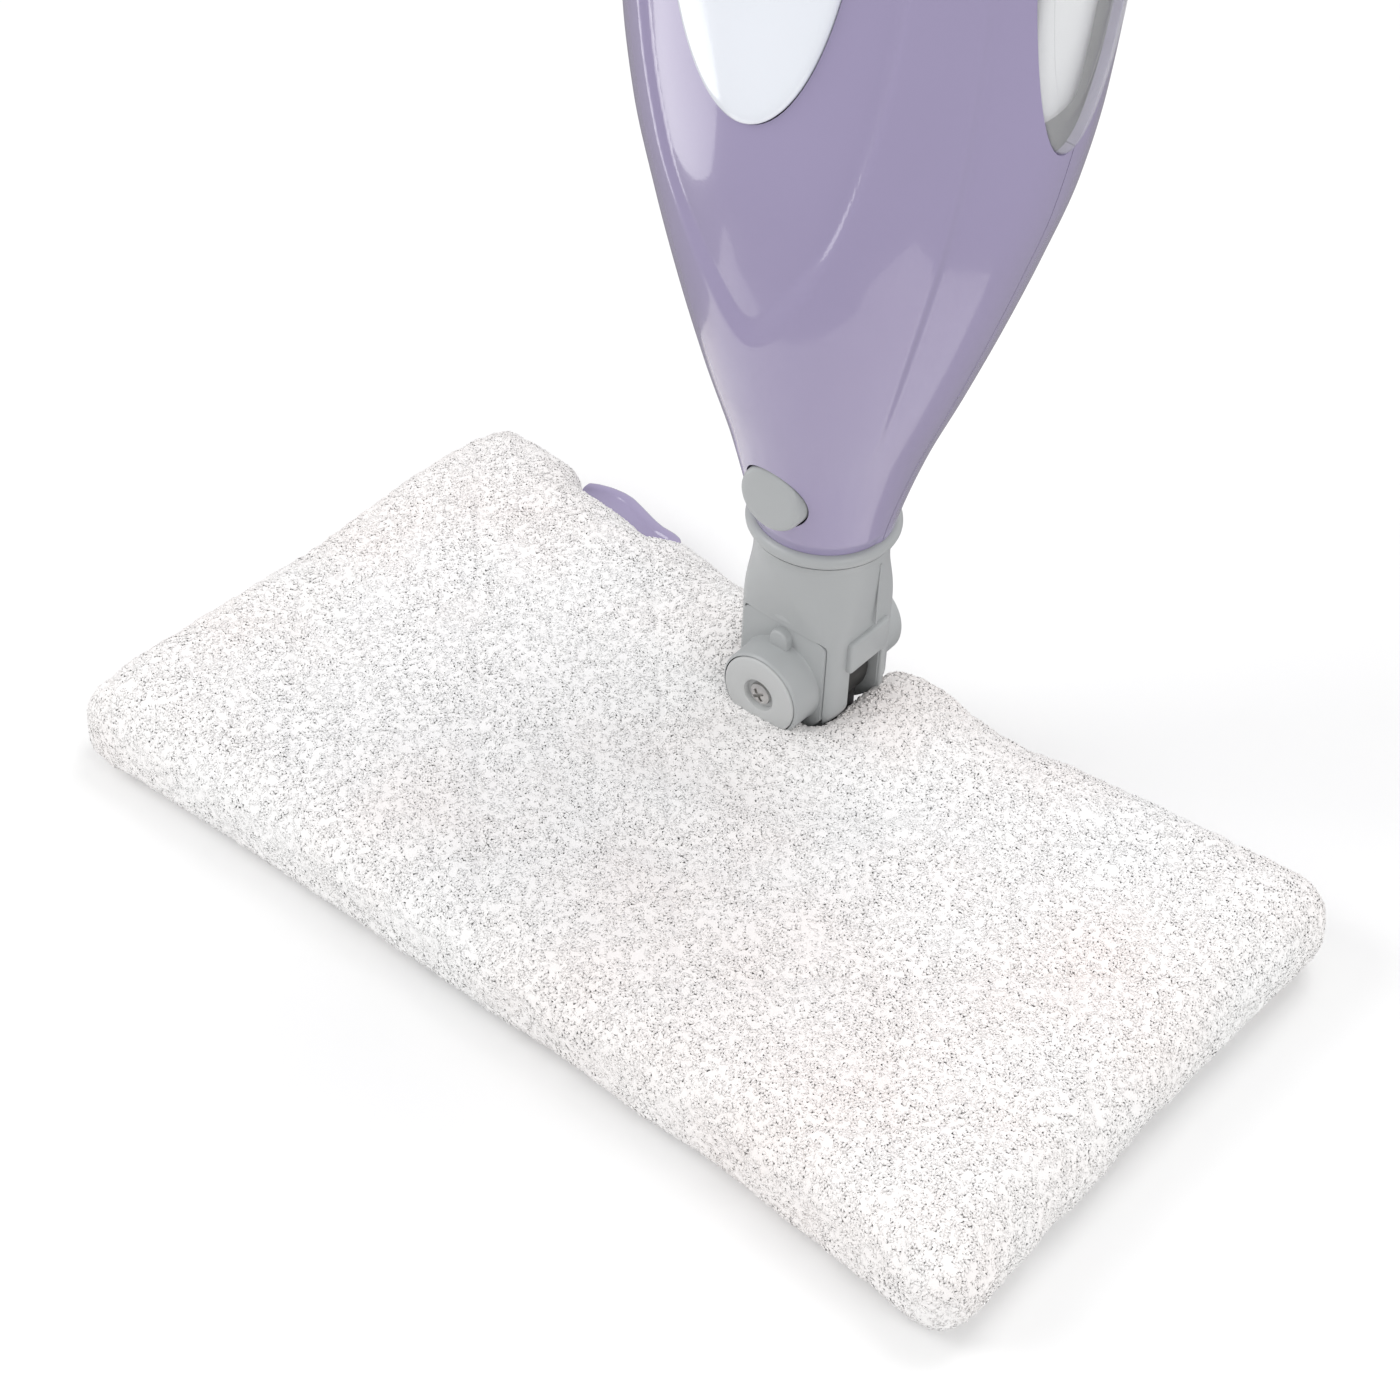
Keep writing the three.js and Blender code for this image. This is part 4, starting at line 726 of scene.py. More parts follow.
flange_profile = [
    (16 * mm, 90 * mm), (tube_radius + 0.02 * mm, 90 * mm), (tube_radius + 0.25 * mm, 92 * mm),
    (tube_radius + 0.8 * mm, 93.2 * mm), (tube_radius + 1.8 * mm, 93.7 * mm)]
flange_profile += [(flange_radius - 2.1 * mm + 2.1 * mm * math.cos(a), 95.8 * mm + 2.2 * mm * math.sin(a))
                   for a in np.linspace(-1.35, 1.57, 12)]
flange_profile += [(19.95 * mm, 97.6 * mm), (19.9 * mm, 95.5 * mm), (16 * mm, 95.5 * mm), (16 * mm, 90 * mm)]
flange = spun("neck_flange", flange_profile, (0, neck_y, 0), "Z", 96)
soften(flange, 40)
fitted(flange, grey, "wand", "grey_plastic")
sleeve = spun("neck_sleeve", [
    (10.5 * mm, 68 * mm), (16.1 * mm, 68 * mm), (16.1 * mm, 71 * mm), (13 * mm, 71 * mm), (13 * mm, 131 * mm),
    (12.4 * mm, 132 * mm), (10.8 * mm, 132 * mm), (10.5 * mm, 131.5 * mm), (10.5 * mm, 68 * mm)],
    (0, neck_y, 0), "Z", 64)
boolean(sleeve, spun("catch_hole", [(0, -30 * mm), (6.4 * mm, -30 * mm), (6.4 * mm, 0), (0, 0)],
                     (0, neck_y, 117 * mm), "Y", 32))
soften(sleeve)
fitted(sleeve, grey, "wand", "grey_plastic")
ridge = block("neck_ridge", (18.7 * mm, neck_y + 1.6 * mm, 66 * mm),
              (19.25 * mm, neck_y + 2.4 * mm, 88 * mm), 0.2 * mm, 2)
fitted(ridge, grey, "wand", "grey_plastic")
soften(ridge)

# ---- neck covers, discs and screws ----
# Flat covers pressed on the fork's front and back, each with a boss and an arched rib, closed by
# a paler disc that a cross-head screw holds in the end of the swing pin.
cover_inner, cover_outer, boss_radius, boss_reach = 12.5 * mm, 14.9 * mm, 13.3 * mm, 24.6 * mm
cover_end_radius, cover_corner, rib_inner, rib_outer = 16.5 * mm, 2.4 * mm, 14 * mm, 17.6 * mm
disc_radius, disc_face, well_radius = 12.2 * mm, 25.2 * mm, 5 * mm
for end, side in (("front", -1), ("rear", 1)):
    low_y, high_y = sorted((neck_y + side * cover_inner, neck_y + side * cover_outer))
    outline = [(cover_end_radius * math.sin(a), swing_z - cover_end_radius * math.cos(a))
               for a in np.linspace(-1.06, 1.06, 19)]
    for hand, start, finish in ((1, 0, math.pi / 2), (-1, math.pi / 2, 0)):
        outline += [(hand * (cover_half - cover_corner + cover_corner * math.cos(a)),
                     cover_top - cover_corner + cover_corner * math.sin(a))
                    for a in np.linspace(start, finish, 6)]
    n = len(outline)
    plate = mesh_piece("neck_cover_" + end + "_plate",
                       [(a, y, b) for y in (low_y, high_y) for a, b in outline],
                       [tuple(range(n)), tuple(range(n, 2 * n))[::-1]]
                       + [(i, (i + 1) % n, n + (i + 1) % n, n + i) for i in range(n)])
    outward(plate)
    bpy.ops.object.mode_set(mode="EDIT")
    bm = bmesh.from_edit_mesh(plate.data)
    outer_y = neck_y + side * cover_outer
    for e in bm.edges:
        e.select = all(abs(v.co.y - outer_y) < 1e-6 for v in e.verts)
    bmesh.update_edit_mesh(plate.data)
    bpy.ops.mesh.bevel(offset=0.5 * mm, segments=3, affect="EDGES")
    bpy.ops.object.mode_set(mode="OBJECT")
    boss = spun("boss", [
        (9.3 * mm, side * 13 * mm), (boss_radius + 0.9 * mm, side * 14 * mm),
        (boss_radius + 0.4 * mm, side * 15.0 * mm),
        (boss_radius + 0.1 * mm, side * 16.2 * mm), (boss_radius, side * (boss_reach - 0.9 * mm)),
        (boss_radius - 0.35 * mm, side * (boss_reach - 0.3 * mm)),
        (boss_radius - 0.8 * mm, side * boss_reach),
        (disc_radius + 0.35 * mm, side * boss_reach), (disc_radius + 0.3 * mm, side * 22.2 * mm),
        (9.3 * mm, side * 22.2 * mm), (9.3 * mm, side * 13 * mm)], pivot, "Y", 72)
    rib_low_y, rib_high_y = sorted((neck_y + side * rib_inner, neck_y + side * rib_outer))
    rib = block("rib", (-3 * mm, rib_low_y, 56 * mm), (3 * mm, rib_high_y, 64.6 * mm), 0)
    pick(rib)
    bpy.ops.object.mode_set(mode="EDIT")
    bm = bmesh.from_edit_mesh(rib.data)
    for e in bm.edges:
        e.select = all(v.co.z > 63 * mm for v in e.verts) and abs(e.verts[0].co.y - e.verts[1].co.y) > 1e-4
    bmesh.update_edit_mesh(rib.data)
    bpy.ops.mesh.bevel(offset=2.7 * mm, segments=6, affect="EDGES")
    bm = bmesh.from_edit_mesh(rib.data)
    for e in bm.edges:
        e.select = all(abs(v.co.y - (neck_y + side * rib_outer)) < 1e-6 for v in e.verts)
    bmesh.update_edit_mesh(rib.data)
    bpy.ops.mesh.bevel(offset=0.7 * mm, segments=3, affect="EDGES")
    bpy.ops.object.mode_set(mode="OBJECT")
    pin_hole = spun("pin_hole", [(0, -30 * mm), (9.35 * mm, -30 * mm), (9.35 * mm, 30 * mm), (0, 30 * mm)],
                    pivot, "Y", 48)
    boolean(plate, pin_hole)
    plate.name = "neck_cover_" + end + "_moulding"
    join(plate, boss, rib)
    soften(plate)
    fitted(plate, grey, "wand", "grey_plastic", "neck_cover_" + end)
    disc = spun("pivot_disc_" + end, [
        (2.2 * mm, side * 22.9 * mm), (disc_radius - 0.1 * mm, side * 22.9 * mm),
        (disc_radius, side * 23.2 * mm), (disc_radius, side * (disc_face - 0.7 * mm)),
        (disc_radius - 0.25 * mm, side * (disc_face - 0.25 * mm)),
        (disc_radius - 0.7 * mm, side * disc_face), (well_radius + 0.5 * mm, side * disc_face),
        (well_radius + 0.1 * mm, side * (disc_face - 0.15 * mm)),
        (well_radius, side * (disc_face - 0.6 * mm)),
        (well_radius - 0.3 * mm, side * 23.4 * mm), (2.2 * mm, side * 23.4 * mm),
        (2.2 * mm, side * 22.9 * mm)],
        pivot, "Y", 72)
    soften(disc, 40)
    fitted(disc, pale_grey, "yoke", "pale_grey_plastic", "pivot_cap_" + end)
    screw = spun("pivot_bolt_" + end, [
        (0, side * 11 * mm), (1.95 * mm, side * 11 * mm), (1.95 * mm, side * 23.5 * mm),
        (3.4 * mm, side * 23.5 * mm),
        (3.5 * mm, side * 23.8 * mm), (3.3 * mm, side * 24.5 * mm), (2.5 * mm, side * 24.95 * mm),
        (1.3 * mm, side * 25.15 * mm), (0, side * 25.2 * mm)], pivot, "Y", 40)
    for half_x, half_z in ((2.1 * mm, 0.5 * mm), (0.5 * mm, 2.1 * mm)):
        cross_low_y, cross_high_y = sorted((neck_y + side * 24.0 * mm, neck_y + side * 26 * mm))
        cross = block("cross", (-half_x, cross_low_y, swing_z - half_z),
                      (half_x, cross_high_y, swing_z + half_z))
        pick(cross)
        bpy.ops.object.mode_set(mode="EDIT")
        bpy.ops.mesh.select_all(action="SELECT")
        bpy.ops.transform.rotate(value=math.radians(38), orient_axis="Y", center_override=pivot)
        bpy.ops.object.mode_set(mode="OBJECT")
        boolean(screw, cross)
    soften(screw)
    fitted(screw, steel, "yoke", "steel", "pivot_screw_" + end)
dress(["steam_spigot", "steam_pipe"], brass)
rubber = moulded("rubber", (0.032, 0.032, 0.034), 0.75, grain=600.0, grain_depth=0.0001)
dress(["spigot_seal", "cap_seal"], rubber)


# ---- body shells ----
# Two glossy lilac mouldings screwed together from behind. The front one has a sunken field
# round its badge panel with a crisp edge, a second soft crease outside it and flattened flanks.
front_low, front_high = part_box("front_shell")
body_bottom, body_top = front_low.z / mm, front_high.z / mm
belly_z = body_bottom + 0.61 * (body_top - body_bottom)
panel_z, panel_half_x, panel_half_z = belly_z - 10, 28.0, 75.0
window_half_y, window_half_z = 17.0, 77.0
window_forward = 3.0
shell_wall, parting = 2.5, 0.15
button_z, power_z, lens_z, filler_z = 117.0, panel_z + 103, panel_z + 85, body_top - 82
field_share, field_z, field_down, field_up, field_depth = 0.61, panel_z - 16, 130.0, 160.0, 1.7
crease_share, crease_depth = 0.80, 1.5
shell_screws = [(-30, body_bottom + 66), (30, body_bottom + 66), (-24, body_top - 28), (24, body_top - 28)]
lower_rise, upper_rise = belly_z - body_bottom, body_top - belly_z
lower_shares = [(0, 0), (0.035, 0.035), (0.125, 0.161), (0.231, 0.351), (0.338, 0.533), (0.445, 0.7),
                (0.552, 0.845), (0.658, 0.928), (0.8, 0.977), (1, 1)]
upper_shares = [(0.25, 0.93), (0.5, 0.72), (0.78, 0.36), (1, 0)]
width_knots = ([(body_bottom + a * lower_rise, 19.6 + b * 48.4) for a, b in lower_shares]
               + [(belly_z + a * upper_rise, 24 + b * 44) for a, b in upper_shares])
ratio_knots = [(body_bottom, 1), (body_bottom + 0.036 * lower_rise, 1),
               (body_bottom + 0.146 * lower_rise, 0.95),
               (body_bottom + 0.66 * lower_rise, 0.76), (belly_z, 0.73), (belly_z + 0.5 * upper_rise, 0.78),
               (body_top, 1)]


def flowing(knots, at):
    """A smooth curve through the knots that never overshoots them."""
    xs, ys = (np.array(v, float) for v in zip(*knots))
    slope = np.diff(ys) / np.diff(xs)
    tangent = np.concatenate([[slope[0]], np.zeros(len(xs) - 2), [slope[-1]]])
    for i in range(1, len(xs) - 1):
        if slope[i - 1] * slope[i] > 0:
            tangent[i] = 2 * slope[i - 1] * slope[i] / (slope[i - 1] + slope[i])
    at = np.asarray(at, float)
    i = np.clip(np.searchsorted(xs, at) - 1, 0, len(xs) - 2)
    run = xs[i + 1] - xs[i]
    t = np.clip((at - xs[i]) / run, 0, 1)
    return (ys[i] * (2 * t ** 3 - 3 * t ** 2 + 1) + ys[i + 1] * (3 * t ** 2 - 2 * t ** 3)
            + run * (tangent[i] * (t ** 3 - 2 * t ** 2 + t) + tangent[i + 1] * (t ** 3 - t ** 2)))


def half_width(z):
    return flowing(width_knots, z)


def half_depth(z):
    return flowing(width_knots, z) * flowing(ratio_knots, z)


def relief(share, z):
    """How far the front face lies under the plain leaf form, at a share of its half width and a height."""
    down = z - field_z
    tall = np.where(down < 0, field_down, field_up)
    q = np.sqrt((share / field_share) ** 2 + (down / tall) ** 2) + 1e-9
    width = half_width(z)
    steep = np.hypot(share / field_share ** 2 / (width * q), down / tall ** 2 / q)
    inside = (1 - q) / np.maximum(steep, 1e-4)
    lower_end = ramp(-down / field_down, 0.62, 0.98)
    step = field_depth * ramp(inside, 0, 2.6 + 8.4 * lower_end)
    beyond = np.clip((np.abs(share) - crease_share) / (1 - crease_share), 0, 1)
    crease = crease_depth * (1 - ramp(z, 400, 440)) * ramp(z, 120, 200) * (
        ramp(beyond, 0, 0.22) * (1 - ramp(beyond, 0.4, 1)))
    rim = 0.45 * (1 - ramp(z, body_bottom + 4.2, body_bottom + 4.9))
    return -step - crease - rim


def body_skin(columns, levels, side, inset=0.0, carved=True, spread=math.pi / 2):
    angle = np.linspace(-spread, spread, columns)[None, :]
    level = np.asarray(levels, float)[:, None]
    width, depth = half_width(level) - inset, half_depth(level) - inset
    x = width * np.sin(angle)
    y = -parting - (depth - parting) * np.cos(angle)
    if carved:
        offset = relief(np.sin(angle) + 0 * level, level + 0 * angle)
        nx, ny = np.sin(angle) * depth, -np.cos(angle) * width
        length = np.hypot(nx, ny)
        fade = ramp(np.cos(angle), 0, 0.12)
        x = x + offset * nx / length * fade
        y = y + offset * ny / length * fade
    else:
        x, y = x + 0 * level, y + 0 * level
    z = level + 0 * angle
    return np.stack([x * mm, neck_y + (y if side < 0 else -y) * mm, z * mm], -1)


def oval_bar(name, half_a, half_b, centre_z, axis, start, finish, steps=96, forward=0):
    """An oval bar through the body's wall, along Y for the front and along X for the flanks."""
    rows = []
    for place in (start, finish):
        row = []
        for angle in np.linspace(0, 2 * math.pi, steps, endpoint=False):
            across = (half_a * math.cos(angle) + forward) * mm
            rise = (centre_z + half_b * math.sin(angle)) * mm
            row.append((across, neck_y + place * mm, rise) if axis == "Y"
                       else (place * mm, neck_y + across, rise))
        rows.append(row)
    bar = grid_piece(name, rows)
    outward(bar)
    return bar


def bar_y(name, radius, x, z, start, finish, steps=64):
    return spun(name, [(0, start * mm), (radius * mm, start * mm), (radius * mm, finish * mm),
                       (0, finish * mm)],
                (x * mm, neck_y, z * mm), "Y", steps)


for end, side, columns, rows_up in (("front", -1, 201, 290), ("rear", 1, 111, 200)):
    levels = np.linspace(body_bottom, body_top, rows_up)
    outer = body_skin(columns, levels, side, carved=side < 0)
    inner = body_skin(columns, levels, side, inset=shell_wall, carved=False)
    flat_outer, flat_inner = outer.reshape(-1, 3), inner.reshape(-1, 3)
    n_outer = len(flat_outer)
    faces = []
    for i in range(rows_up - 1):
        for j in range(columns - 1):
            a, b = i * columns + j, i * columns + j + 1
            c, d = b + columns, a + columns
            faces.append((a, b, c, d))
            faces.append((n_outer + d, n_outer + c, n_outer + b, n_outer + a))
    for i in range(rows_up - 1):
        a, d = i * columns, (i + 1) * columns
        faces.append((a, d, n_outer + d, n_outer + a))
        a, d = a + columns - 1, d + columns - 1
        faces.append((d, a, n_outer + a, n_outer + d))
    for j in range(columns - 1):
        faces.append((j + 1, j, n_outer + j, n_outer + j + 1))
        top = (rows_up - 1) * columns + j
        faces.append((top, top + 1, n_outer + top + 1, n_outer + top))
    shell = mesh_piece("body_" + end + "_shell", np.concatenate([flat_outer, flat_inner]), faces)
    outward(shell)
    for place in (-1, 1):
        start, finish = sorted((place * 30, place * 100))
        boolean(shell, oval_bar("window_cut", window_half_y + 0.4, window_half_z + 0.4, panel_z, "X",
                                start, finish, forward=-window_forward))
    if side < 0:
        boolean(shell, oval_bar("panel_cut", panel_half_x + 0.35, panel_half_z + 0.35, panel_z,
                                "Y", -100, -10))
        boolean(shell, bar_y("button_cut", 10.5, 0, button_z, -60, -12))
        boolean(shell, bar_y("power_cut", 9.4, 0, power_z, -80, -10))
        boolean(shell, bar_y("lens_cut", 3.3, 0, lens_z, -80, -10, 32))
    else:
        boolean(shell, bar_y("filler_cut", 18.3, 0, filler_z, 20, 80))
        for x_at, z_at in shell_screws:
            boolean(shell, bar_y("screw_cut", 3.7, x_at, z_at, 12, 80, 24))
    soften(shell, 32)
    fitted(shell, lilac, "wand", "lilac_plastic", end + "_shell")

solid_levels = np.linspace(body_bottom + 1, body_top - 1, 120)


def body_plug(name, inset):
    """The leaf form as one solid, to trim pieces to the body's surface."""
    front = body_skin(49, solid_levels, -1, inset=inset, carved=False)
    rear = body_skin(49, solid_levels, 1, inset=inset, carved=False)
    rows = [np.concatenate([f, r[::-1][1:-1]]) for f, r in zip(front, rear)]
    plug = grid_piece(name, rows)
    outward(plug)
    return plug


for collar_name, inner_r, outer_r, z_at, start, finish in [
    ("button_collar", 10.5, 11.9, button_z, -50, -16), ("power_collar", 9.4, 10.6, power_z, -60, -30),
    ("filler_collar", 18.3, 19.8, filler_z, 25, 70),
]:
    collar = spun(collar_name, [(inner_r * mm, start * mm), (outer_r * mm, start * mm),
                                (outer_r * mm, finish * mm),
                                (inner_r * mm, finish * mm), (inner_r * mm, start * mm)],
                  (0, neck_y, z_at * mm), "Y", 64)
    boolean(collar, body_plug("trim", 0.35), "INTERSECT")
    soften(collar, 32)
    fitted(collar, lilac, "wand", "lilac_plastic")
for number, (x_at, z_at) in enumerate(shell_screws, 1):
    well = spun("screw_well_%d" % number, [(3.7 * mm, 11 * mm), (5 * mm, 11 * mm), (5 * mm, 70 * mm),
                                           (3.7 * mm, 70 * mm),
                                           (3.7 * mm, 11 * mm)], (x_at * mm, neck_y, z_at * mm), "Y", 24)
    boolean(well, body_plug("trim", 0.35), "INTERSECT")
    soften(well, 32)
    fitted(well, lilac, "wand", "lilac_plastic")
dress(["shell_screw_%d" % i for i in (1, 2, 3, 4)], steel)


# ---- front panel ----
# A domed oval of glossy white plastic snapped into the front, with a softly rounded edge that
# stands a little proud of the sunken field.
white = moulded("white_plastic", (0.84, 0.87, 0.93), 0.16, coat=0.8, orange_peel=0.00006)
rings = [(0.02, 1.0), (0.18, 0.99), (0.35, 0.95), (0.6, 0.83), (0.75, 0.70), (0.85, 0.57), (0.91, 0.42),
         (0.95, 0.22), (0.98, -0.1), (0.995, -0.6), (1.0, -1.3), (1.0, -3.0)]
panel_angles = np.linspace(0, 2 * math.pi, 144, endpoint=False)
panel_rows = []
for share, proud in rings:
    x = share * panel_half_x * np.cos(panel_angles)
    z = panel_z + share * panel_half_z * np.sin(panel_angles)
    across = x / half_width(z)
    y = -half_depth(z) * np.sqrt(1 - across ** 2) - proud
    panel_rows.append(np.stack([x * mm, neck_y + y * mm, z * mm], 1))
panel = grid_piece("front_badge_panel", panel_rows)
outward(panel)
soften(panel, 50)
fitted(panel, white, "wand", "white_plastic", "front_panel")


# ---- tank windows ----
# Clear oval panes in both flanks, thick at the rim where they are welded in, through which the
# white water tank shows.
clear = bpy.data.materials.new("clear_plastic")
clear.use_nodes = True
shader = clear.node_tree.nodes["Principled BSDF"]
shader.inputs["Base Color"].default_value = (0.93, 0.94, 0.95, 1)
shader.inputs["Alpha"].default_value = 0.22
shader.inputs["IOR"].default_value = 1.46
shader.inputs["Coat Weight"].default_value = 1.0
shader.inputs["Coat Roughness"].default_value = 0.03
place = clear.node_tree.nodes.new("ShaderNodeTexCoord")
haze = node(clear, "ShaderNodeTexNoise", Scale=40.0, Detail=4.0)
link(clear, place.outputs["Object"], haze.inputs["Vector"])
haze_range = node(clear, "ShaderNodeMapRange")
haze_range.inputs["To Min"].default_value = 0.01
haze_range.inputs["To Max"].default_value = 0.07
link(clear, haze.outputs["Fac"], haze_range.inputs["Value"])
link(clear, haze_range.outputs["Result"], shader.inputs["Roughness"])
window_rings = [(0.2, 0.7), (0.5, 0.65), (0.75, 0.5), (0.86, 0.35), (0.885, 0.3), (0.90, 0.9), (0.93, 1.3),
                (0.965, 1.3),
                (0.99, 0.8), (1.0, 0.0), (1.0, -2.6), (0.93, -2.6), (0.9, -2.0), (0.86, -1.6), (0.5, -1.3),
                (0.2, -1.2)]
for hand, side in (("left", -1), ("right", 1)):
    window_rows = []
    for share, proud in window_rings:
        y = share * window_half_y * np.cos(panel_angles) - window_forward
        z = panel_z + share * window_half_z * np.sin(panel_angles)
        x = half_width(z) * np.sqrt(1 - (y / half_depth(z)) ** 2) + proud
        window_rows.append(np.stack([side * x * mm, neck_y + y * mm, z * mm], 1))
    window = grid_piece("tank_pane_" + hand, window_rows)
    outward(window)
    soften(window, 60)
    fitted(window, clear, "wand", "clear_plastic", "tank_window_" + hand)


# ---- water tank ----
# A blow-moulded tank of milky plastic that fills the body's back, seen through the windows.
tank_low, tank_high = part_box("water_tank")
tank_plastic = moulded("tank_plastic", (0.93, 0.94, 0.95), 0.35, coat=0.2)
tank_levels = np.linspace(tank_low.z / mm, tank_high.z / mm, 60)
tank_rows = []
for level in tank_levels:
    ends = min(level - tank_levels[0], tank_levels[-1] - level)
    inset = 6.7 + max(0, 4 - ends) ** 2 / 5
    angle = np.linspace(0, 2 * math.pi, 96, endpoint=False)
    x = (float(half_width(level)) - inset) * np.sin(angle)
    y = np.maximum((float(half_depth(level)) - inset) * np.cos(angle), -11.9)
    tank_rows.append(np.stack([x * mm, neck_y + y * mm, np.full(96, level * mm)], 1))
tank = grid_piece("water_tank_moulding", tank_rows)
outward(tank)
boolean(tank, bar_y("filler_bore", 10.6, 0, filler_z, 15, 80))
soften(tank, 40)
mouth_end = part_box("cap_seal")[0].y - neck_y - 0.3 * mm
mouth = spun("filler_neck", [(10.6 * mm, 25 * mm), (13 * mm, 25 * mm), (13 * mm, mouth_end),
                             (10.6 * mm, mouth_end), (10.6 * mm, 25 * mm)],
             (0, neck_y, filler_z * mm), "Y", 64)
soften(mouth)
fitted(tank, tank_plastic, "wand", "tank_plastic", "water_tank")
fitted(mouth, tank_plastic, "wand", "tank_plastic")


# ---- buttons and lamp ----
# The release button is a thick grey dome in its own bore; the power button above the panel is a
# flatter one with a ring groove, and a red lens shows that it is on.
button_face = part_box("release_button")[0].y - neck_y
button = spun("release_button_cap", [
    (0, button_face + 1.2 * mm), (7.4 * mm, button_face + 1.2 * mm), (8.9 * mm, button_face + 1.35 * mm),
    (9.5 * mm, button_face + 1.7 * mm), (9.85 * mm, button_face + 2.4 * mm),
    (9.95 * mm, button_face + 3.4 * mm),
    (9.95 * mm, -17.6 * mm), (8.7 * mm, -17.6 * mm), (8.6 * mm, button_face + 5 * mm),
    (6 * mm, button_face + 5 * mm), (5.9 * mm, -10.2 * mm), (5.4 * mm, -9.9 * mm), (0, -9.9 * mm)],
    (0, neck_y, button_z * mm), "Y", 72)
soften(button, 40)
fitted(button, grey, "release_button", "grey_plastic", "release_button")
spring_low, spring_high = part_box("button_spring")
coil_turns, coil_steps, coil_radius, coil_gap = 5, 24, 7.3 * mm, 0.7 * mm
coil_rise = spring_high.y - spring_low.y - 2 * coil_gap
spring_points = []
for step in range(coil_turns * coil_steps + 1):
    share = step / (coil_turns * coil_steps)
    angle = share * coil_turns * 2 * math.pi
    spring_points.append((coil_radius * math.cos(angle), spring_low.y + coil_gap + share * coil_rise,
                          button_z * mm + coil_radius * math.sin(angle)))
coil_curve = bpy.data.curves.new("button_coil", "CURVE")
coil_curve.dimensions = "3D"
coil_curve.bevel_depth, coil_curve.bevel_resolution = 0.6 * mm, 3
coil_curve.use_fill_caps = True
line = coil_curve.splines.new("POLY")
line.points.add(len(spring_points) - 1)
for point, place in zip(line.points, spring_points):
    point.co = (*place, 1)
coil = bpy.data.objects.new("button_coil", coil_curve)
bpy.context.scene.collection.objects.link(coil)
pick(coil)
bpy.ops.object.convert(target="MESH")
coil = bpy.context.object
soften(coil, 60)
fitted(coil, steel, "release_button", "steel", "button_spring")
power_low, power_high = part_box("power_button")
power_face = power_low.y - neck_y
power = spun("power_button_cap", [
    (0, power_face + 0.5 * mm), (4.5 * mm, power_face + 0.35 * mm), (5.2 * mm, power_face + 0.6 * mm),
    (5.6 * mm, power_face + 0.35 * mm), (7.8 * mm, power_face), (8.6 * mm, power_face + 0.3 * mm),
    (8.95 * mm, power_face + 1.1 * mm), (8.95 * mm, power_high.y - neck_y), (0, power_high.y - neck_y)],
    (0, neck_y, power_z * mm), "Y", 64)
soften(power, 40)
fitted(power, grey, "power_button", "grey_plastic", "power_button")
lens_low, lens_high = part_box("indicator_lens")
red = moulded("red_lens", (0.42, 0.035, 0.028), 0.12, coat=0.8)
lens = spun("indicator_lamp", [
    (0, lens_low.y - neck_y), (1.6 * mm, lens_low.y - neck_y + 0.2 * mm),
    (2.6 * mm, lens_low.y - neck_y + 0.8 * mm),
    (2.95 * mm, lens_low.y - neck_y + 1.6 * mm), (2.95 * mm, lens_high.y - neck_y),
    (0, lens_high.y - neck_y)],
    (0, neck_y, lens_z * mm), "Y", 40)
soften(lens, 40)
fitted(lens, red, "wand", "red_lens", "indicator_lens")


# ---- tank cap ----
# A grey screw cap with a ribbed edge and a cross bar for the fingers, on a rubber seal.
cap_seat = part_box("tank_cap")[1].y - neck_y - 9 * mm
cap = spun("filler_cap", [
    (0, cap_seat - 8.5 * mm), (9.4 * mm, cap_seat - 8.5 * mm), (10.1 * mm, cap_seat - 7.8 * mm),
    (10.1 * mm, cap_seat),
    (16.2 * mm, cap_seat), (16.8 * mm, cap_seat + 0.6 * mm), (16.8 * mm, cap_seat + 4.0 * mm),
    (16.0 * mm, cap_seat + 4.9 * mm), (13 * mm, cap_seat + 5 * mm), (12 * mm, cap_seat + 4.5 * mm),
    (0, cap_seat + 4.4 * mm)],
    (0, neck_y, filler_z * mm), "Y", 96)
cap_points = points_of(cap)
cap_angle = np.arctan2(cap_points[:, 2] - filler_z * mm, cap_points[:, 0])
cap_radius = np.hypot(cap_points[:, 2] - filler_z * mm, cap_points[:, 0])
ribbed = (cap_radius > 16.5 * mm) * 0.35 * mm * np.cos(24 * cap_angle)
cap_points[:, 0] += ribbed * np.cos(cap_angle)
cap_points[:, 2] += ribbed * np.sin(cap_angle)
set_points(cap, cap_points)
bar = block("cap_bar", (-12.6 * mm, neck_y + cap_seat + 3 * mm, filler_z * mm - 2.4 * mm),
            (12.6 * mm, neck_y + cap_seat + 8.8 * mm, filler_z * mm + 2.4 * mm), 1.4 * mm, 4)
join(cap, bar)
soften(cap, 40)
fitted(cap, grey, "tank_cap", "grey_plastic", "tank_cap")


# ---- inside the body ----
# Pump, aluminium boiler, thermostat, fuse, board and hoses: plain works that nothing shows, left
# as the frame gives them with their own finishes.
aluminium = turned_metal("aluminium", (0.56, 0.57, 0.58), 0.34, (1, 1, 0.02), 420.0)
board = moulded("circuit_board", (0.03, 0.15, 0.06), 0.5)
dress(["body_socket"], grey)
dress(["tank_valve", "pump", "thermostat", "steam_switch"], black)
dress(["boiler"], aluminium)
dress(["tank_hose", "boiler_hose"], silicone)
dress(["thermal_fuse"], steel)
dress(["control_board"], board)


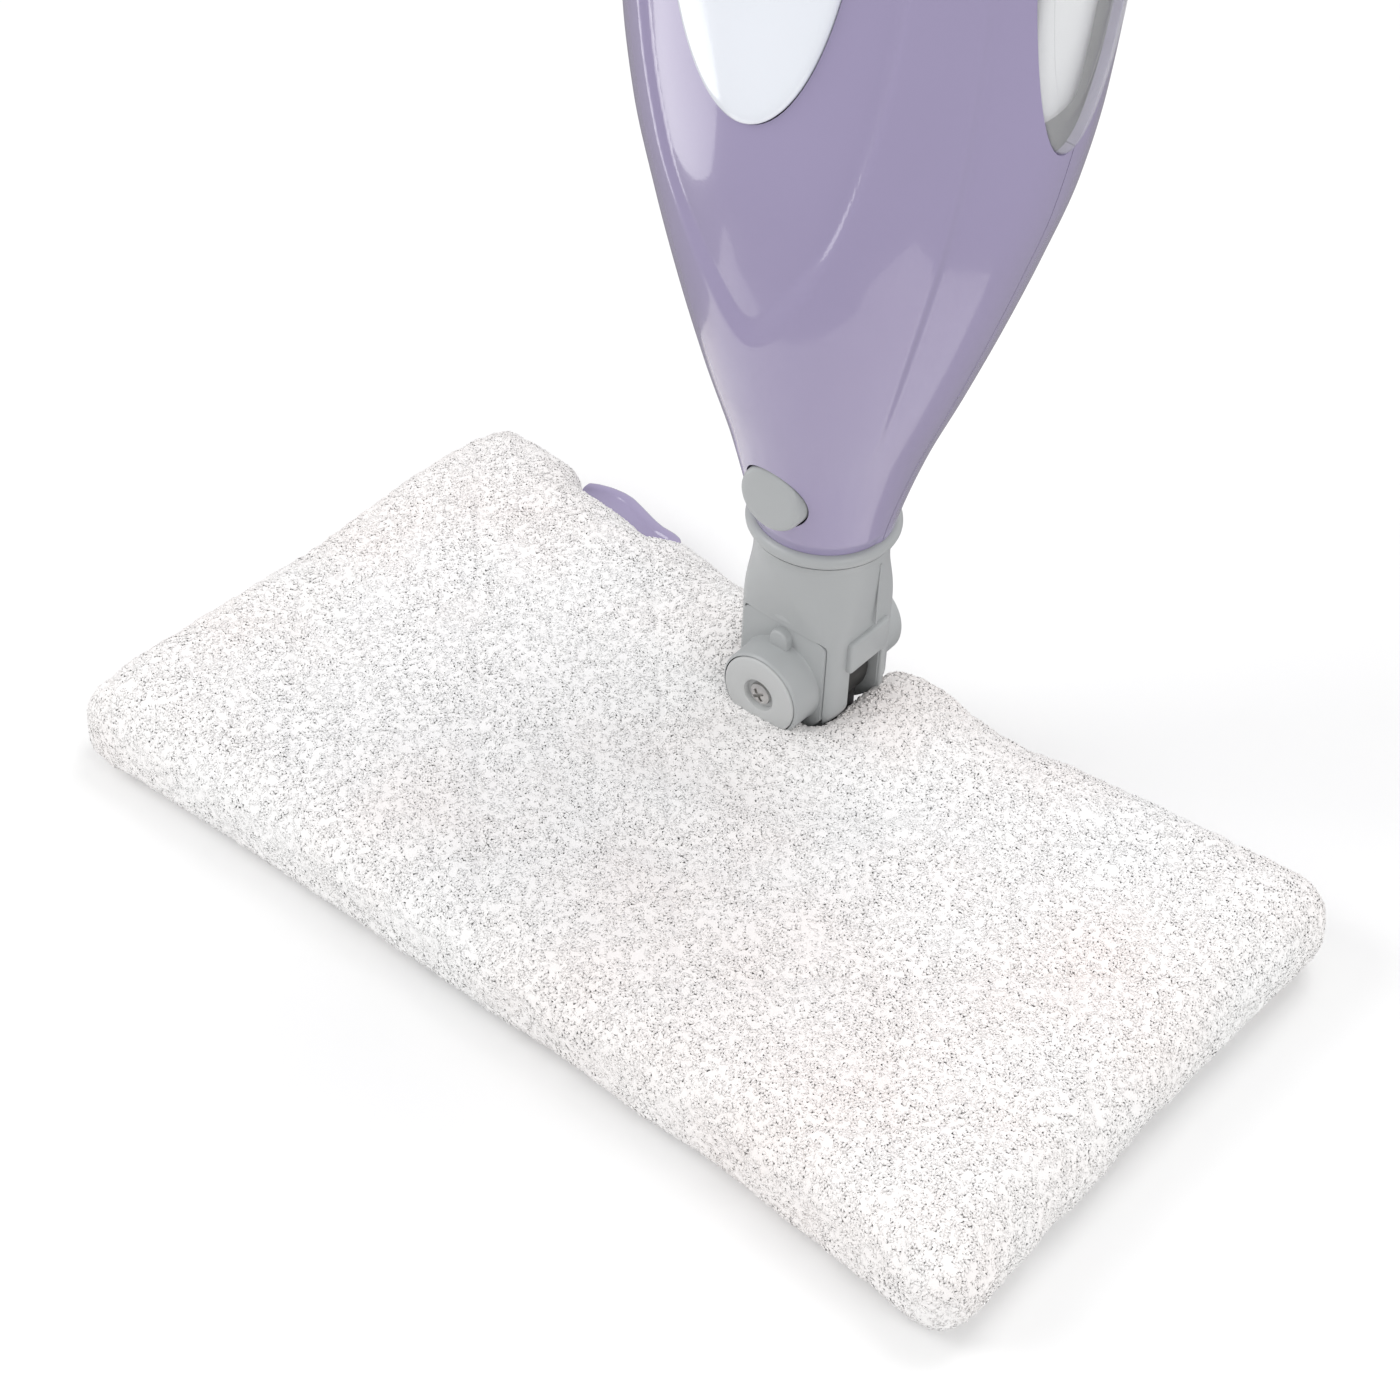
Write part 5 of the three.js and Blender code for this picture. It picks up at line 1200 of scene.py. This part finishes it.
# ---- pole ----
# A satin aluminium tube, brushed round, in a grey collar on top of the body.
pole_low, pole_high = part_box("pole")
pole_radius = 12.5 * mm
shaft = spun("pole_tube", [
    (11.3 * mm, pole_low.z), (12.2 * mm, pole_low.z), (pole_radius, pole_low.z + 0.4 * mm),
    (pole_radius, pole_high.z - 0.4 * mm), (12.2 * mm, pole_high.z), (11.3 * mm, pole_high.z),
    (11.3 * mm, pole_low.z)],
    (0, neck_y, 0), "Z", 96)
soften(shaft, 40)
fitted(shaft, aluminium, "wand", "aluminium", "pole")
seat = body_top * mm + 0.3 * mm
collar = spun("pole_collar", [
    (12.8 * mm, pole_low.z - 4 * mm), (17.6 * mm, pole_low.z - 4 * mm), (18 * mm, pole_low.z - 3.6 * mm),
    (18 * mm, seat),
    (23.4 * mm, seat), (24 * mm, seat + 0.6 * mm), (23.9 * mm, seat + 4 * mm), (22.9 * mm, seat + 11 * mm),
    (21.2 * mm, seat + 16 * mm), (17.6 * mm, seat + 22 * mm), (15.6 * mm, seat + 25.2 * mm),
    (14.9 * mm, seat + 26 * mm),
    (13.3 * mm, seat + 26 * mm), (12.8 * mm, seat + 25.4 * mm), (12.8 * mm, pole_low.z - 4 * mm)],
    (0, neck_y, 0), "Z", 96)
soften(collar, 30)
fitted(collar, grey, "wand", "grey_plastic", "pole_socket")


# ---- cord hooks ----
# Two grey clips on the pole with an arm and a lip each, for winding the cord. The upper one turns
# down to drop the whole winding at once.
for end, up, body in (("lower", -1, "wand"), ("upper", 1, "upper_cord_hook")):
    hook_low, hook_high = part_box(end + "_cord_hook")
    ring_z = hook_low.z + 11 * mm if up > 0 else hook_high.z - 11 * mm
    clip = spun("cord_hook_" + end, [
        (12.75 * mm, -11 * mm), (16.4 * mm, -11 * mm), (17 * mm, -10.4 * mm), (17 * mm, -4 * mm),
        (16.6 * mm, -3.6 * mm),
        (16.6 * mm, 3.6 * mm), (17 * mm, 4 * mm), (17 * mm, 10.4 * mm), (16.4 * mm, 11 * mm),
        (12.75 * mm, 11 * mm), (12.75 * mm, -11 * mm)], (0, neck_y, ring_z), "Z", 72)
    centre_line = [(14.6, 0), (24, 0.1), (34, 0.4), (41, 1.2), (45.3, 3.8), (47, 8.5), (47.2, 15),
                   (47.2, 25.2)]
    path = np.array([[np.interp(t, np.linspace(0, 1, len(centre_line)), [p[0] for p in centre_line]),
                      np.interp(t, np.linspace(0, 1, len(centre_line)), [p[1] for p in centre_line])]
                     for t in np.linspace(0, 1, 40)])
    arm_rows = []
    for i, (reach, rise) in enumerate(path):
        before, after = path[max(i - 1, 0)], path[min(i + 1, len(path) - 1)]
        direction = (after - before) / np.linalg.norm(after - before)
        normal = np.array([-direction[1], direction[0]])
        share = i / (len(path) - 1)
        thick, wide = 2.9 - 0.7 * share, 6.8 - 0.8 * share
        if i == len(path) - 1:
            thick, wide = thick * 0.6, wide * 0.8
        row = []
        for angle in np.linspace(0, 2 * math.pi, 20, endpoint=False):
            c, s = math.cos(angle), math.sin(angle)
            round_off = (abs(c) ** 5 + abs(s) ** 5) ** (-1 / 5)
            y_at = reach + normal[0] * thick * s * round_off
            z_at = rise + normal[1] * thick * s * round_off
            row.append((wide * c * round_off * mm, neck_y + y_at * mm, ring_z + up * z_at * mm))
        arm_rows.append(row)
    arm = grid_piece("arm", arm_rows)
    outward(arm)
    join(clip, arm)
    soften(clip, 40)
    fitted(clip, grey, body, "grey_plastic", end + "_cord_hook")


# ---- grip ----
# Two lilac half shells round the top of the pole, with a soft ribbed sleeve in the middle, a grey
# finger lever in front for the steam and a rubber gland behind for the cord.
grip_low_z, grip_high_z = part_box("grip_front_shell")[0].z / mm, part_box("grip_front_shell")[1].z / mm
grip_length, grip_ratio = grip_high_z - grip_low_z, 1.12
grip_knots = [(grip_low_z + a * grip_length, r) for a, r in [
    (0, 15.5), (0.12, 17), (0.35, 16), (0.6, 18), (0.84, 20), (0.95, 16), (1, 9)]]
depth_knots = [(grip_low_z, 1), (grip_low_z + 0.2 * grip_length, grip_ratio), (grip_high_z, grip_ratio)]
sleeve_low, sleeve_high = (b.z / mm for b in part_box("grip_sleeve"))
rubber_grip = moulded("rubber_grip", (0.36, 0.37, 0.38), 0.7, grain=1300.0, grain_depth=0.00012)


def grip_row(level, inset, steps, start=0.0, finish=2 * math.pi):
    angle = np.linspace(start, finish, steps, endpoint=finish - start < 6)
    radius = float(flowing(grip_knots, level)) - inset
    depth = float(flowing(grip_knots, level) * flowing(depth_knots, level)) - inset
    return np.stack([radius * np.cos(angle) * mm, neck_y + depth * np.sin(angle) * mm,
                     np.full(steps, level * mm)], 1)


grip_rows = []
dome = 4
dome_levels = grip_high_z - dome + np.array([1.5, 2.6, 3.4, 3.85, dome])
for level in np.concatenate([np.linspace(grip_low_z, grip_high_z - dome, 90), dome_levels]):
    close = max(0.0, level - (grip_high_z - dome)) / dome
    inset = 6.5 * (1 - math.sqrt(max(0, 1 - close ** 2))) + max(0, 1.2 - (level - grip_low_z)) * 0.5
    sunk = 2.3 if sleeve_low - 0.2 < level < sleeve_high + 0.2 else 0
    grip_rows.append(grip_row(min(level, grip_high_z), inset + sunk, 96))
grip_solid = grid_piece("grip_solid", grip_rows)
outward(grip_solid)
boolean(grip_solid, spun("pole_bore", [(0, grip_low_z * mm - 5 * mm), (12.8 * mm, grip_low_z * mm - 5 * mm),
                                       (12.8 * mm, pole_high.z + 0.4 * mm), (0, pole_high.z + 0.4 * mm)],
                         (0, neck_y, 0), "Z", 72))
boolean(grip_solid, spun("hollow", [(0, pole_high.z), (11.5 * mm, pole_high.z),
                                    (11.5 * mm, grip_high_z * mm - 16 * mm),
                                    (0, grip_high_z * mm - 10 * mm)], (0, neck_y, 0), "Z", 48))
trigger_low, trigger_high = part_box("trigger")
boolean(grip_solid, block("lever_slot", (-7.9 * mm, neck_y - 60 * mm, trigger_low.z - 1 * mm),
                          (7.9 * mm, neck_y - 5 * mm, trigger_high.z + 2.6 * mm), 1.5 * mm))
gland_low, gland_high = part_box("cord_gland")
gland_z = (gland_low.z + gland_high.z) / 2
boolean(grip_solid, spun("gland_hole", [(0, 13 * mm), (6.9 * mm, 13 * mm), (6.9 * mm, 60 * mm), (0, 60 * mm)],
                         (0, neck_y, gland_z), "Y", 40))
for end, side in (("front", -1), ("rear", 1)):
    half = bpy.data.objects.new("grip_" + end + "_half", grip_solid.data.copy())
    bpy.context.scene.collection.objects.link(half)
    low_y, high_y = sorted((neck_y + side * 0.12 * mm, neck_y + side * 90 * mm))
    boolean(half, block("keep", (-90 * mm, low_y, 0.8), (90 * mm, high_y, 1.3)), "INTERSECT")
    soften(half, 35)
    fitted(half, lilac, "wand", "lilac_plastic", "grip_" + end + "_shell")
bpy.data.objects.remove(grip_solid)
rib_depth, rib_pitch = 0.45, 4.2
sleeve_rows = []
for inset_side in (0, 1):
    span = np.linspace(sleeve_low, sleeve_high, 169)
    for level in (span if inset_side == 0 else span[::-12]):
        ends = min(level - sleeve_low, sleeve_high - level)
        groove = rib_depth * (0.5 + 0.5 * math.cos(level * 2 * math.pi / rib_pitch)) * (ends > 2)
        proud = 0.3 - max(0, 1.2 - ends) ** 2 * 0.7 - groove
        sleeve_rows.append(grip_row(level, 1.95 if inset_side else -proud, 80))
sleeve_rows.append(sleeve_rows[0])
band = grid_piece("grip_soft_sleeve", sleeve_rows, ends=False)
outward(band)
soften(band, 50)
fitted(band, rubber_grip, "wand", "rubber_grip", "grip_sleeve")

lever_points = []
lever_y, lever_z = neck_y - 14 * mm, trigger_high.z - 3 * mm
lever_outline = [(3, 3), (-5, 3), (-8.4, -0.6), (-11, -5), (-12.8, -11), (-13.6, -18), (-13.9, -26),
                 (-13.6, -33),
                 (-13, -40), (-12.2, -43.6), (-10.2, -45.6), (-7.4, -46), (-5, -45.6), (-4, -38),
                 (-2.8, -22), (-1, -6), (3, -3)]
for half in (-6.9, 6.9):
    lever_points += [(half * mm, lever_y + a * mm, lever_z + b * mm) for a, b in lever_outline]
n = len(lever_outline)
lever = mesh_piece("steam_lever", lever_points, [tuple(range(n)), tuple(range(n, 2 * n))[::-1]]
                   + [(i, (i + 1) % n, n + (i + 1) % n, n + i) for i in range(n)])
outward(lever)
apply_modifier(lever, "BEVEL", width=1.3 * mm, segments=4, limit_method="ANGLE", angle_limit=math.radians(60))
soften(lever, 40)
fitted(lever, grey, "trigger", "grey_plastic", "trigger")
gland_outer = gland_high.y - neck_y
gland = spun("cord_gland_boot", [
    (3.5 * mm, 14.6 * mm), (6.4 * mm, 14.6 * mm), (6.4 * mm, gland_outer - 9.6 * mm),
    (7.8 * mm, gland_outer - 9.4 * mm),
    (8 * mm, gland_outer - 8.8 * mm), (7.9 * mm, gland_outer - 7.2 * mm), (6.9 * mm, gland_outer - 6.4 * mm),
    (6.8 * mm, gland_outer - 5.2 * mm), (7.3 * mm, gland_outer - 4.6 * mm),
    (7.1 * mm, gland_outer - 3.4 * mm),
    (6.2 * mm, gland_outer - 2.8 * mm), (6.1 * mm, gland_outer - 1.8 * mm),
    (6.4 * mm, gland_outer - 1.2 * mm),
    (6 * mm, gland_outer - 0.3 * mm), (5.2 * mm, gland_outer), (3.5 * mm, gland_outer),
    (3.5 * mm, 14.6 * mm)],
    (0, neck_y, gland_z), "Y", 48)
soften(gland, 40)
fitted(gland, rubber, "wand", "rubber", "cord_gland")
